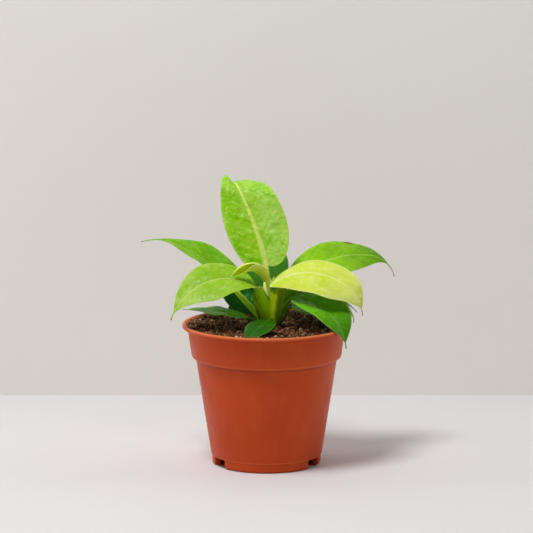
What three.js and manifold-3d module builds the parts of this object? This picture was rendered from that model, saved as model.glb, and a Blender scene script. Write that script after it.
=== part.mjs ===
// A young moonlight philodendron in a plastic nursery pot.
//
// Millimetres, +Z up. The origin is on the floor at the pot's axis, and -Y is the front.
// The pot, the soil, the stem and every leaf with its stalk are separate solids.

import {
  BufferGeometry,
  CylinderGeometry,
  ExtrudeGeometry,
  Float32BufferAttribute,
  Group,
  IcosahedronGeometry,
  LatheGeometry,
  MathUtils,
  Mesh,
  MeshStandardMaterial,
  PlaneGeometry,
  Shape,
  Vector2,
  Vector3,
} from 'three';
import { mergeVertices } from 'three/addons/utils/BufferGeometryUtils.js';
import Module from 'manifold-3d';

const wasm = await Module();
wasm.setup();

const GAP = 0.3; // between pieces that rest on or in each other

// Nursery pot, a 10.8 cm (4 inch) round one
const POT = {
  height: 91,
  wall: 1.2,
  lipRadius: 54,
  lipHeight: 2.5,
  lipInnerRadius: 51.8,
  bandTopRadius: 50.6,
  bandLowRadius: 48.1,
  bandLow: 70.2,
  shoulderRadius: 45.1,
  shoulder: 67,
  bodyLowRadius: 35.4,
  footTop: 6.5,
  footRadius: 35,
  footRound: 2.3,
  footFlat: 1.6,
  floorUnder: 6.6,
  floorTop: 7.8,
  sides: 60,
};
const NOTCH = { angles: [-150, -30, 90], width: 12.5, height: 6 };
const DRAIN = { count: 6, radius: 3.6, circle: 24, sides: 16 };

// Potting soil, filled to just under the lip, and the lumps that stand out of it
const SOIL = { top: 85.6, relief: 0.7, sides: 44, rings: [7.5, 16, 25, 34, 42, 47.2] };
const LUMPS = { count: 24, seed: 11, inner: 13, outer: 43, smallest: 1.6, largest: 3.4, sunk: 0.45 };

// Short stem that the leaf stalks spring from
const STEM = { x: 1.5, y: 0.8, radius: 6.3, topRadius: 5.6, bottom: 74, top: 103, round: 2.4, sides: 24 };

// Leaf blades
const BLADE = { thickness: 0.7, rib: 0.9, ribShare: 0.12, leastHalfWidth: 0.4 };
const NECK = 7; // length over which a stalk turns into the blade's midrib
const STALK_SIDES = 8;
const RIB_TAIL = 8; // length of the stalk's end that runs on under the blade

// Colours of the leaves: new ones are yellow, old ones dark green
const GREEN = {
  lime: 0xc3d63c,
  yellow: 0xdde07a,
  bright: 0x8fc326,
  mid: 0x5aa01a,
  dark: 0x1f6b22,
  deep: 0x17513a,
};

// Each leaf. Angles are in degrees: a heading of 0 points along +X, 90 along +Y, and a rise of
// 90 straight up. Three values in a row hold at the blade's base, middle and tip.
//   foot            where the stalk's axis starts, inside the stem
//   stalk           length, heading, rise at both ends and radius at both ends
//   blade           length of the midrib
//   half            greatest half width, on the left and on the right of the midrib
//   fold, droop     how far each half stands up at the midrib, and how far it then curls down
//   bend            how far the blade's end bends down, where along the blade that starts, and how
//                   far the bend's line is turned from square to the midrib
//   widest          where along the blade it is widest
//   round, taper    how blunt its base is, and how fast it narrows to the tip
//   tail            share of the length that is the thin drip tip
//   lobe            how far the base reaches back beside the stalk
const LEAVES = {
  leaf_top: {
    foot: [3, 5, 95],
    stalk: { length: 25, heading: 140, rise: [88, 84], radius: [1.6, 1.4] },
    blade: 84,
    heading: [152, 136, 118],
    rise: [67, 63, 56],
    roll: [62, 48, 40],
    half: [16.2, 21.3],
    fold: [8, 6, 6],
    droop: [8, 12, 30],
    bend: { angle: 165, from: 0.59, slant: -28 },
    widest: 0.35,
    round: 0.45,
    taper: 1.35,
    lobe: 9,
    colour: GREEN.bright,
  },
  leaf_left_high: {
    foot: [-3, 3.6, 93],
    stalk: { length: 18, heading: 157, rise: [44, 46], radius: [1.8, 1.5] },
    blade: 73,
    heading: [162, 168, 176],
    rise: [46, 29, 2],
    roll: [8, 8, 8],
    half: [17, 17.5],
    fold: [18, 18, 10],
    droop: [10, 12, 10],
    bend: { angle: 24, from: 0.76, slant: 0 },
    widest: 0.38,
    round: 0.5,
    tail: 0.16,
    lobe: 4,
    colour: GREEN.mid,
  },
  leaf_left_arching: {
    foot: [-2.6, -2.8, 95],
    stalk: { length: 12, heading: 196, rise: [90, 86], radius: [2.3, 1.8] },
    blade: 70,
    heading: [196, 203, 206],
    rise: [38, -16, -62],
    roll: [14, 29, 24],
    half: [19, 15],
    fold: [26, 12, 6],
    droop: [14, 18, 14],
    bend: { angle: 10, from: 0.84, slant: 0 },
    taper: 1.4,
    lobe: 3,
    colour: GREEN.bright,
  },
  leaf_unfurling: {
    foot: [1.5, 1, 95],
    stalk: { length: 16, heading: 195, rise: [88, 86], radius: [1.5, 1.4] },
    blade: 26,
    heading: [196, 206, 216],
    rise: [66, 14, -30],
    roll: [10, 0, 0],
    half: [8.5, 8.5],
    fold: [20, 20, 20],
    droop: [-100, -100, -100],
    widest: 0.4,
    wave: 0,
    colour: GREEN.yellow,
  },
  leaf_right_bright: {
    foot: [2.2, -3.8, 95],
    stalk: { length: 14, heading: -7, rise: [92, 88], radius: [2.6, 2.1] },
    blade: 74.5,
    heading: [-7, -11, -16],
    rise: [44, -14, -58],
    roll: [-24, -28, -30],
    half: [16.5, 18],
    fold: [-6, 0, 8],
    droop: [8, 14, 16],
    bend: { angle: 30, from: 0.68, slant: 0 },
    widest: 0.53,
    taper: 1,
    lobe: 3,
    colour: GREEN.lime,
  },
  leaf_right_high: {
    foot: [6, 3, 94],
    stalk: { length: 17, heading: 40, rise: [66, 58], radius: [1.7, 1.5] },
    blade: 82,
    heading: [17, 13, 10],
    rise: [44, 6, -32],
    roll: [-26, -26, -24],
    half: [17.5, 17.5],
    fold: [8, 5, 4],
    droop: [10, 12, 10],
    bend: { angle: 46, from: 0.7, slant: 0 },
    widest: 0.45,
    taper: 1.8,
    tail: 0.1,
    lobe: 4,
    colour: GREEN.mid,
  },
  leaf_right_drooping: {
    foot: [4.8, 0, 92],
    stalk: { length: 17, heading: -25, rise: [68, 48], radius: [2.2, 1.8] },
    blade: 54,
    heading: [-30, -42, -50],
    rise: [-6, -30, -76],
    roll: [0, 0, 0],
    half: [16, 12],
    fold: [14, 14, 10],
    droop: [12, 16, 10],
    bend: { angle: 10, from: 0.84, slant: 0 },
    lobe: 1.5,
    colour: GREEN.dark,
  },
  leaf_right_low: {
    foot: [4, 2, 88.7],
    stalk: { length: 12, heading: 0, rise: [0, 86], radius: [0.9, 0.85] },
    blade: 47,
    heading: [4, 4, 4],
    rise: [2, -4, -14],
    roll: [0, 0, 0],
    half: [10, 10],
    fold: [12, 8, 5],
    droop: [10, 12, 10],
    bend: { angle: 86, from: 0.68, slant: 0 },
    lobe: 1,
    colour: GREEN.dark,
  },
  leaf_right_back: {
    foot: [6, 5.3, 92],
    stalk: { length: 8, heading: 32, rise: [50, 45], radius: [1.4, 1.2] },
    blade: 50,
    heading: [28, 20, 15],
    rise: [18, -8, -50],
    roll: [-10, -10, -10],
    half: [12, 12],
    fold: [12, 8, 5],
    droop: [10, 12, 10],
    lobe: 1,
    colour: GREEN.deep,
  },
  leaf_back: {
    foot: [0, 7, 94],
    stalk: { length: 7, heading: 85, rise: [60, 60], radius: [1.5, 1.3] },
    blade: 48,
    heading: [90, 92, 94],
    rise: [64, 60, 30],
    roll: [0, 0, 0],
    half: [13.5, 13.5],
    fold: [10, 8, 5],
    droop: [10, 12, 10],
    widest: 0.45,
    colour: GREEN.deep,
  },
  leaf_left_back: {
    foot: [-3, 5, 90],
    stalk: { length: 3.5, heading: 145, rise: [20, 30], radius: [1.5, 1.3] },
    blade: 42,
    heading: [140, 145, 150],
    rise: [42, 48, 15],
    roll: [35, 35, 30],
    half: [10, 11],
    fold: [10, 8, 5],
    droop: [10, 12, 10],
    colour: GREEN.deep,
  },
  leaf_left_low: {
    foot: [-2, -1, 92],
    stalk: { length: 3.5, heading: 182, rise: [14, 14], radius: [1.3, 1.1] },
    blade: 42,
    heading: [182, 182, 180],
    rise: [16, 8, -2],
    roll: [5, 5, 5],
    half: [10, 10],
    fold: [10, 8, 5],
    droop: [10, 12, 10],
    colour: GREEN.dark,
  },
  leaf_front_small: {
    foot: [1, -4, 92],
    stalk: { length: 3, heading: 265, rise: [30, 10], radius: [1.3, 1.1] },
    blade: 34,
    heading: [262, 256, 252],
    rise: [-2, -8, -10],
    roll: [0, 0, 0],
    half: [6.5, 8],
    fold: [8, 6, 4],
    droop: [10, 12, 10],
    widest: 0.5,
    round: 0.4,
    taper: 0.95,
    tail: 0,
    colour: GREEN.dark,
  },
};
const LEAF_DEFAULTS = {
  bend: { angle: 0, from: 0.84, slant: 0 },
  widest: 0.42,
  round: 0.6,
  taper: 1.25,
  tail: 0.07,
  lobe: 0,
  wave: 0.5,
};

const radians = MathUtils.degToRad;
const clamp01 = (x) => MathUtils.clamp(x, 0, 1);
const smooth = (x) => MathUtils.smoothstep(x, 0, 1);

// Closed solid from a geometry whose faces point outwards.
function solid(geometry) {
  const bare = geometry.index ? geometry.clone() : geometry;
  bare.deleteAttribute('normal');
  bare.deleteAttribute('uv');
  const merged = mergeVertices(bare, 1e-5);
  const mesh = new wasm.Mesh({
    numProp: 3,
    vertProperties: new Float32Array(merged.attributes.position.array),
    triVerts: new Uint32Array(merged.index.array),
  });
  return new wasm.Manifold(mesh);
}

function geometryOf(manifold) {
  const mesh = manifold.getMesh();
  const geometry = new BufferGeometry();
  geometry.setAttribute('position', new Float32BufferAttribute(mesh.vertProperties, 3));
  geometry.setIndex(Array.from(mesh.triVerts));
  const flat = geometry.toNonIndexed();
  flat.computeVertexNormals();
  return flat;
}

function piece(name, manifold, material) {
  const mesh = new Mesh(geometryOf(manifold), new MeshStandardMaterial(material));
  mesh.name = name;
  return mesh;
}

// Profile of (radius, height) pairs turned about the vertical axis.
function turned(profile, sides) {
  const points = profile.map(([r, z]) => new Vector2(r, z));
  return new LatheGeometry(points, sides).rotateX(Math.PI / 2);
}

// Steady random numbers from 0 to 1.
function randomFrom(seed) {
  let state = seed;
  return () => {
    state = (state * 16807) % 2147483647;
    return state / 2147483647;
  };
}

// Pot

function potOutline() {
  const p = POT;
  const flatOuter = p.footRadius - p.footRound;
  const flatInner = flatOuter - p.footFlat;
  const quarter = [0.25, 0.5, 0.75].map((share) => {
    const a = share * Math.PI / 2;
    return [flatOuter + p.footRound * Math.sin(a), p.footRound * (1 - Math.cos(a))];
  });
  return [
    [0, p.floorUnder],
    [flatInner - 0.4, p.floorUnder],
    [flatInner, p.floorUnder - 0.6],
    [flatInner, 0],
    [flatOuter, 0],
    ...quarter,
    [p.footRadius, p.footRound],
    [p.footRadius, p.footTop - 0.5],
    [p.bodyLowRadius, p.footTop],
    [p.shoulderRadius, p.shoulder],
    [p.bandLowRadius - 0.7, p.bandLow - 0.6],
    [p.bandLowRadius, p.bandLow + 0.6],
    [p.bandTopRadius, p.height - p.lipHeight - 0.3],
    [p.lipRadius - 0.5, p.height - p.lipHeight],
    [p.lipRadius, p.height - p.lipHeight + 0.6],
    [p.lipRadius, p.height - 0.7],
    [p.lipRadius - 0.7, p.height],
    [p.lipInnerRadius + 0.5, p.height],
    [p.lipInnerRadius, p.height - 0.5],
    ...innerWall(0),
    [0, p.floorTop],
  ];
}

// Inner face of the pot from the lip down to the floor, offset inwards by a clearance.
function innerWall(clearance) {
  const p = POT;
  const inset = p.wall + clearance;
  return [
    [p.bandTopRadius - inset, p.height - p.lipHeight - 0.3],
    [p.bandLowRadius - inset, p.bandLow],
    [p.shoulderRadius - inset, p.shoulder - 0.8],
    [p.bodyLowRadius - inset + 0.7, p.floorTop + 3 + clearance],
    [p.bodyLowRadius - inset - 1.2, p.floorTop + clearance],
  ];
}

function notchCutter(angle) {
  const { width, height } = NOTCH;
  const corner = height * 0.4;
  const arch = new Shape();
  arch.moveTo(-width / 2, -1);
  arch.lineTo(width / 2, -1);
  arch.lineTo(width / 2, height - corner);
  arch.quadraticCurveTo(width / 2, height, width / 2 - corner, height);
  arch.lineTo(-width / 2 + corner, height);
  arch.quadraticCurveTo(-width / 2, height, -width / 2, height - corner);
  arch.closePath();
  const reach = 10;
  const cutter = new ExtrudeGeometry(arch, { depth: reach, bevelEnabled: false, curveSegments: 4 });
  cutter.rotateX(Math.PI / 2);
  cutter.translate(0, -(POT.footRadius - POT.footRound - POT.footFlat - 2), 0);
  cutter.rotateZ(radians(angle + 90));
  return solid(cutter);
}

function drainHole(index) {
  const angle = 2 * Math.PI * index / DRAIN.count;
  const hole = new CylinderGeometry(DRAIN.radius, DRAIN.radius, 6, DRAIN.sides);
  hole.rotateX(Math.PI / 2);
  hole.translate(DRAIN.circle * Math.cos(angle), DRAIN.circle * Math.sin(angle), POT.floorTop);
  return solid(hole);
}

function pot() {
  let body = solid(turned(potOutline(), POT.sides));
  for (const angle of NOTCH.angles) {
    body = body.subtract(notchCutter(angle));
  }
  for (let index = 0; index < DRAIN.count; index += 1) {
    body = body.subtract(drainHole(index));
  }
  return piece('nursery_pot', body, { color: 0xb04a26, roughness: 0.5, metalness: 0 });
}

// Soil

// Gentle unevenness of the soil's surface.
function soilRelief(x, y) {
  const slow = Math.sin(0.11 * x + 1.3) * Math.cos(0.13 * y - 0.4);
  const quick = 0.6 * Math.sin(0.37 * x - 0.21 * y + 2.1) + 0.4 * Math.cos(0.29 * y + 0.33 * x);
  return SOIL.relief * (slow + quick);
}

function soilBody() {
  const wall = innerWall(GAP).slice(1).reverse();
  const low = wall[0][1];
  const rings = [...SOIL.rings].reverse().map((radius) => [radius, SOIL.top]);
  const geometry = turned([[0, low], ...wall, ...rings, [0, SOIL.top]], SOIL.sides);
  const position = geometry.attributes.position;
  for (let i = 0; i < position.count; i += 1) {
    if (position.getZ(i) > SOIL.top - 0.01) {
      position.setZ(i, SOIL.top + soilRelief(position.getX(i), position.getY(i)));
    }
  }
  return solid(geometry);
}

function lump(random) {
  const { inner, outer, smallest, largest, sunk } = LUMPS;
  const angle = 2 * Math.PI * random();
  const distance = inner + (outer - inner) * Math.sqrt(random());
  const size = smallest + (largest - smallest) * random();
  const x = distance * Math.cos(angle);
  const y = distance * Math.sin(angle);
  const clod = new IcosahedronGeometry(size, 0);
  clod.scale(1, 0.7 + 0.3 * random(), 0.75);
  clod.rotateZ(2 * Math.PI * random());
  clod.translate(x, y, SOIL.top + soilRelief(x, y) + size * (0.75 - sunk) * 0.5);
  return solid(clod);
}

function stemBody(clearance) {
  const { radius, topRadius, bottom, top, round, sides } = STEM;
  const r = radius + clearance;
  const high = top + clearance;
  const rTop = topRadius + clearance;
  const low = bottom - clearance;
  const shoulder = [
    [rTop, high - round],
    [rTop - round * 0.3, high - round * 0.35],
    [rTop - round, high],
  ];
  const geometry = turned([[0, low], [r - 1, low], [r, low + 1], [r, SOIL.top + 4], ...shoulder, [0, high]], sides);
  return solid(geometry.translate(STEM.x, STEM.y, 0));
}

function soil() {
  const random = randomFrom(LUMPS.seed);
  let body = soilBody();
  for (let i = 0; i < LUMPS.count; i += 1) {
    body = body.add(lump(random));
  }
  return piece('potting_soil', body.subtract(stemBody(GAP)), { color: 0x3a281f, roughness: 1, metalness: 0 });
}

function stem() {
  return piece('stem', stemBody(0), { color: 0x6f8a2c, roughness: 0.6, metalness: 0 });
}

// Leaves

// Value at share t of a length, from those at its start, middle and end.
function along([start, middle, end], t) {
  return start * (1 - t) * (1 - 2 * t) + 4 * middle * t * (1 - t) + end * t * (2 * t - 1);
}

// Direction, side and upper normal of a leaf at a distance from its foot.
function frameAt(leaf, distance) {
  const { length, heading, rise } = leaf.stalk;
  const onStalk = clamp01(distance / length);
  const t = clamp01((distance - length - NECK) / leaf.blade);
  const turn = smooth((distance - length) / NECK);
  const h = radians(MathUtils.lerp(heading, along(leaf.heading, t), turn));
  const r = radians(MathUtils.lerp(MathUtils.lerp(rise[0], rise[1], onStalk), along(leaf.rise, t), turn));
  const forward = new Vector3(Math.cos(r) * Math.cos(h), Math.cos(r) * Math.sin(h), Math.sin(r));
  const side = new Vector3(Math.sin(h), -Math.cos(h), 0);
  side.applyAxisAngle(forward, -radians(along(leaf.roll, t)) * smooth(distance / (length + NECK)));
  const normal = new Vector3().crossVectors(side, forward);
  return { forward, side, normal };
}

// Smooth line through the middle of stalk and blade, with its length.
function leafLine(leaf) {
  const total = leaf.stalk.length + NECK + leaf.blade;
  const steps = Math.ceil(total);
  const step = total / steps;
  const point = new Vector3(...leaf.foot);
  const points = [point.clone()];
  for (let i = 0; i < steps; i += 1) {
    point.addScaledVector(frameAt(leaf, (i + 0.5) * step).forward, step);
    points.push(point.clone());
  }
  const at = (distance) => {
    const place = MathUtils.clamp(distance / step, 0, steps);
    const index = Math.min(Math.floor(place), steps - 1);
    return points[index].clone().lerp(points[index + 1], place - index);
  };
  return { at, total };
}

// Share of the greatest half width at share t of the blade.
function widthShare(leaf, t) {
  const place = clamp01(t / (1 - leaf.tail));
  if (place < leaf.widest) {
    return Math.pow(1 - (1 - place / leaf.widest) ** 2, leaf.round);
  }
  const past = (place - leaf.widest) / (1 - leaf.widest);
  return Math.pow(Math.max(0, 1 - past ** 2.1), leaf.taper);
}

// Bends what lies past the start of a leaf's bend, down round a cylinder.
function bentPoint(leaf, line, point) {
  const angle = radians(leaf.bend.angle);
  if (angle === 0) {
    return point;
  }
  const start = leaf.stalk.length + NECK + leaf.bend.from * leaf.blade;
  const reach = (1 - leaf.bend.from) * leaf.blade;
  const radius = reach / angle;
  const { forward, side, normal } = frameAt(leaf, start);
  const ahead = forward.applyAxisAngle(normal, radians(leaf.bend.slant));
  const offset = point.clone().sub(line.at(start));
  const past = offset.dot(ahead);
  const above = offset.dot(normal);
  if (past <= 0) {
    return point;
  }
  const swing = angle * Math.min(past / reach, 1);
  const beyond = Math.max(past - reach, 0);
  const out = radius * Math.sin(swing) + beyond * Math.cos(swing) + above * Math.sin(swing);
  const up = above * Math.cos(swing) - radius * (1 - Math.cos(swing)) - beyond * Math.sin(swing);
  return point.addScaledVector(ahead, out - past).addScaledVector(normal, up - above);
}

// Point of a blade at share t of its length and share v of its width, from -1 on the left to 1 on
// the right, raised off the middle of the blade's thickness.
function bladePoint(leaf, line, t, v, raised) {
  const distance = leaf.stalk.length + NECK + t * leaf.blade;
  const { forward, side, normal } = frameAt(leaf, distance);
  const hand = v < 0 ? -1 : 1;
  const u = Math.abs(v);
  const share = widthShare(leaf, t);
  const half = leaf.half[v < 0 ? 0 : 1] * share + BLADE.leastHalfWidth;
  const fold = radians(along(leaf.fold, t));
  const curl = radians(along(leaf.droop, t));
  const angle = fold - curl * u;
  const ripple = Math.sin(5 * Math.PI * t + (hand > 0 ? 0.6 : 2.3)) * Math.sin(Math.PI * t);
  const out = half / curl * (Math.sin(fold) - Math.sin(angle)) - raised * Math.sin(angle);
  const rise = half / curl * (Math.cos(angle) - Math.cos(fold)) + raised * Math.cos(angle);
  const up = rise + leaf.wave * u * u * ripple;
  const back = leaf.lobe * u * u * share * (1 - t) ** 5;
  const point = line.at(distance).addScaledVector(side, hand * out).addScaledVector(normal, up);
  return bentPoint(leaf, line, point.addScaledVector(forward, -back));
}

// Two like sheets, one over the other, closed round their edge.
function closedSheet(columns, rows, place) {
  const sheet = new PlaneGeometry(2, 1, columns, rows);
  const grid = sheet.attributes.position;
  const count = grid.count;
  const positions = [];
  for (const layer of [1, -1]) {
    for (let i = 0; i < count; i += 1) {
      positions.push(...place(grid.getX(i), grid.getY(i) + 0.5, layer).toArray());
    }
  }
  const top = Array.from(sheet.index.array);
  const faces = [...top];
  for (let i = 0; i < top.length; i += 3) {
    faces.push(top[i] + count, top[i + 2] + count, top[i + 1] + count);
  }
  const edge = edgeLoop(columns, rows);
  edge.forEach((a, i) => {
    const b = edge[(i + 1) % edge.length];
    faces.push(a, b, b + count, a, b + count, a + count);
  });
  const geometry = new BufferGeometry();
  geometry.setAttribute('position', new Float32BufferAttribute(positions, 3));
  geometry.setIndex(faces);
  return geometry;
}

// Vertex numbers round the edge of a plane grid.
function edgeLoop(columns, rows) {
  const width = columns + 1;
  const loop = [];
  for (let i = 0; i < columns; i += 1) loop.push(i);
  for (let j = 0; j < rows; j += 1) loop.push(j * width + columns);
  for (let i = columns; i > 0; i -= 1) loop.push(rows * width + i);
  for (let j = rows; j > 0; j -= 1) loop.push(j * width);
  return loop;
}

function bladeBody(leaf, line) {
  const rows = Math.round(MathUtils.clamp(leaf.blade / 4.5, 9, 16));
  const columns = Math.max(...leaf.half) > 14 ? 8 : 6;
  const place = (v, share, layer) => {
    const ends = 0.5 * (1 - Math.cos(Math.PI * share));
    const t = MathUtils.lerp(share, ends, 0.55);
    const rib = layer < 0 ? BLADE.rib * Math.max(0, 1 - Math.abs(v) / BLADE.ribShare) * (1 - t) : 0;
    return bladePoint(leaf, line, t, v, layer * (BLADE.thickness / 2 + rib));
  };
  return solid(closedSheet(columns, rows, place));
}

// Round stalk that thins towards the blade and runs on under it as the start of the midrib.
function stalkBody(leaf, line) {
  const reach = leaf.stalk.length + NECK;
  const end = reach + Math.min(RIB_TAIL, leaf.blade * 0.3);
  const rows = Math.max(6, Math.round(end / 3.2));
  const profile = [[0, 0]];
  for (let i = 0; i <= rows; i += 1) {
    const distance = end * i / rows;
    const share = clamp01(distance / reach);
    const tail = clamp01((distance - reach) / (end - reach));
    const radius = MathUtils.lerp(leaf.stalk.radius[0], leaf.stalk.radius[1], share);
    profile.push([MathUtils.lerp(radius, 0.35, tail), distance]);
  }
  profile.push([0, end]);
  const geometry = turned(profile, STALK_SIDES);
  const position = geometry.attributes.position;
  for (let i = 0; i < position.count; i += 1) {
    const distance = position.getZ(i);
    const tail = clamp01((distance - reach) / (end - reach));
    const radius = MathUtils.lerp(leaf.stalk.radius[1], 0.35, tail);
    const under = distance > reach ? -radius * 0.5 : -leaf.stalk.radius[1] * 0.5 * smooth(distance / reach);
    const { side, normal } = frameAt(leaf, distance);
    const point = line.at(distance);
    point.addScaledVector(side, -position.getX(i)).addScaledVector(normal, position.getY(i) + under);
    position.setXYZ(i, point.x, point.y, point.z);
  }
  return solid(geometry);
}

function leaf(name, given) {
  const shape = { ...LEAF_DEFAULTS, ...given };
  const line = leafLine(shape);
  const whole = bladeBody(shape, line).add(stalkBody(shape, line));
  const cut = whole.subtract(stemBody(GAP));
  const parts = cut.decompose().sort((a, b) => b.volume() - a.volume());
  return piece(name, parts[0], { color: shape.colour, roughness: 0.4, metalness: 0 });
}

const plant = new Group();
plant.add(pot(), soil(), stem());
for (const [name, given] of Object.entries(LEAVES)) {
  plant.add(leaf(name, given));
}

export default plant;
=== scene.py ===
"""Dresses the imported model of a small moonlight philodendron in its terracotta-coloured nursery pot.

Sizes are given in millimetres, as a maker would write them, and every mesh is made in metres in the
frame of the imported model: the pot stands on z = 0, its axis is the z axis and the front faces -y.
"""

import logging
import math
import random
from dataclasses import dataclass, field
from enum import Enum
from typing import Callable, Optional, Sequence, Union

import bmesh
import bpy
from mathutils import Matrix, Vector, noise

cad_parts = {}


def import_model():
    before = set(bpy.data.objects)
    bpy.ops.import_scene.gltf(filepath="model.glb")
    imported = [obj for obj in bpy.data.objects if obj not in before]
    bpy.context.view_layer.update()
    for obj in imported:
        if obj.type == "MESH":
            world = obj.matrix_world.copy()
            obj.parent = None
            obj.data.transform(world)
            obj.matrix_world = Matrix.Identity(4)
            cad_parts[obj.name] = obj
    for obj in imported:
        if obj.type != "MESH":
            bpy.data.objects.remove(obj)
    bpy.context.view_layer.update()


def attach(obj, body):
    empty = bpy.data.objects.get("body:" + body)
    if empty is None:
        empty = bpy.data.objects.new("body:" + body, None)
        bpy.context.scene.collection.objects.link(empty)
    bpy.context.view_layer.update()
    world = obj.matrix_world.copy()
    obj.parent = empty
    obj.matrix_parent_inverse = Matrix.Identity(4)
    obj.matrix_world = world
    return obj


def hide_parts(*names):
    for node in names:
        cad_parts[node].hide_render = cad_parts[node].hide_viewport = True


LOG = logging.getLogger("moonlight_philodendron")
MM = 0.001
BODY = "root"

Pair = tuple[float, float]
Triple = tuple[float, float, float]
Verts = list[bmesh.types.BMVert]
Socket = bpy.types.NodeSocket
Value = Union[float, int, str, Sequence[float], Socket]
Paint = Union[str, Socket]
Coat = tuple[Paint, Value, float]
Placed = tuple[Vector, Pair, Pair]


def mix(start: float, end: float, share: float) -> float:
    """Returns the number that lies share of the way from start to end."""
    return start + (end - start) * share


def clamp01(number: float) -> float:
    """Returns number, kept between 0 and 1."""
    return min(max(number, 0.0), 1.0)


def smooth(number: float) -> float:
    """Returns an S-shaped ramp from 0 to 1, flat at both ends."""
    held = clamp01(number)
    return held * held * (3.0 - 2.0 * held)


def along(track: Triple, share: float) -> float:
    """Follows a start, middle and end value.

    Args:
        track: the values at the start, the middle and the end.
        share: how far along, from 0 to 1.

    Returns:
        The value on the smooth curve through the three.
    """
    start, middle, end = track
    first, last = start * (1 - share) * (1 - 2 * share), end * share * (2 * share - 1)
    return first + 4 * middle * share * (1 - share) + last


def bump_at(number: float, centre: float, reach: float) -> float:
    """Returns a soft bell that is 1 at centre and dies away over reach."""
    return math.exp(-(((number - centre) / reach) ** 2))


def colour(code: str) -> tuple[float, float, float, float]:
    """Turns a screen colour into the linear colour that a shader takes.

    Args:
        code: six hexadecimal digits, such as "c3d63c".

    Returns:
        Red, green, blue and an alpha of 1.
    """
    parts = [int(code[i : i + 2], 16) / 255 for i in (0, 2, 4)]
    linear = [p / 12.92 if p <= 0.04045 else ((p + 0.055) / 1.055) ** 2.4 for p in parts]
    return (linear[0], linear[1], linear[2], 1.0)


# Making materials


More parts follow.
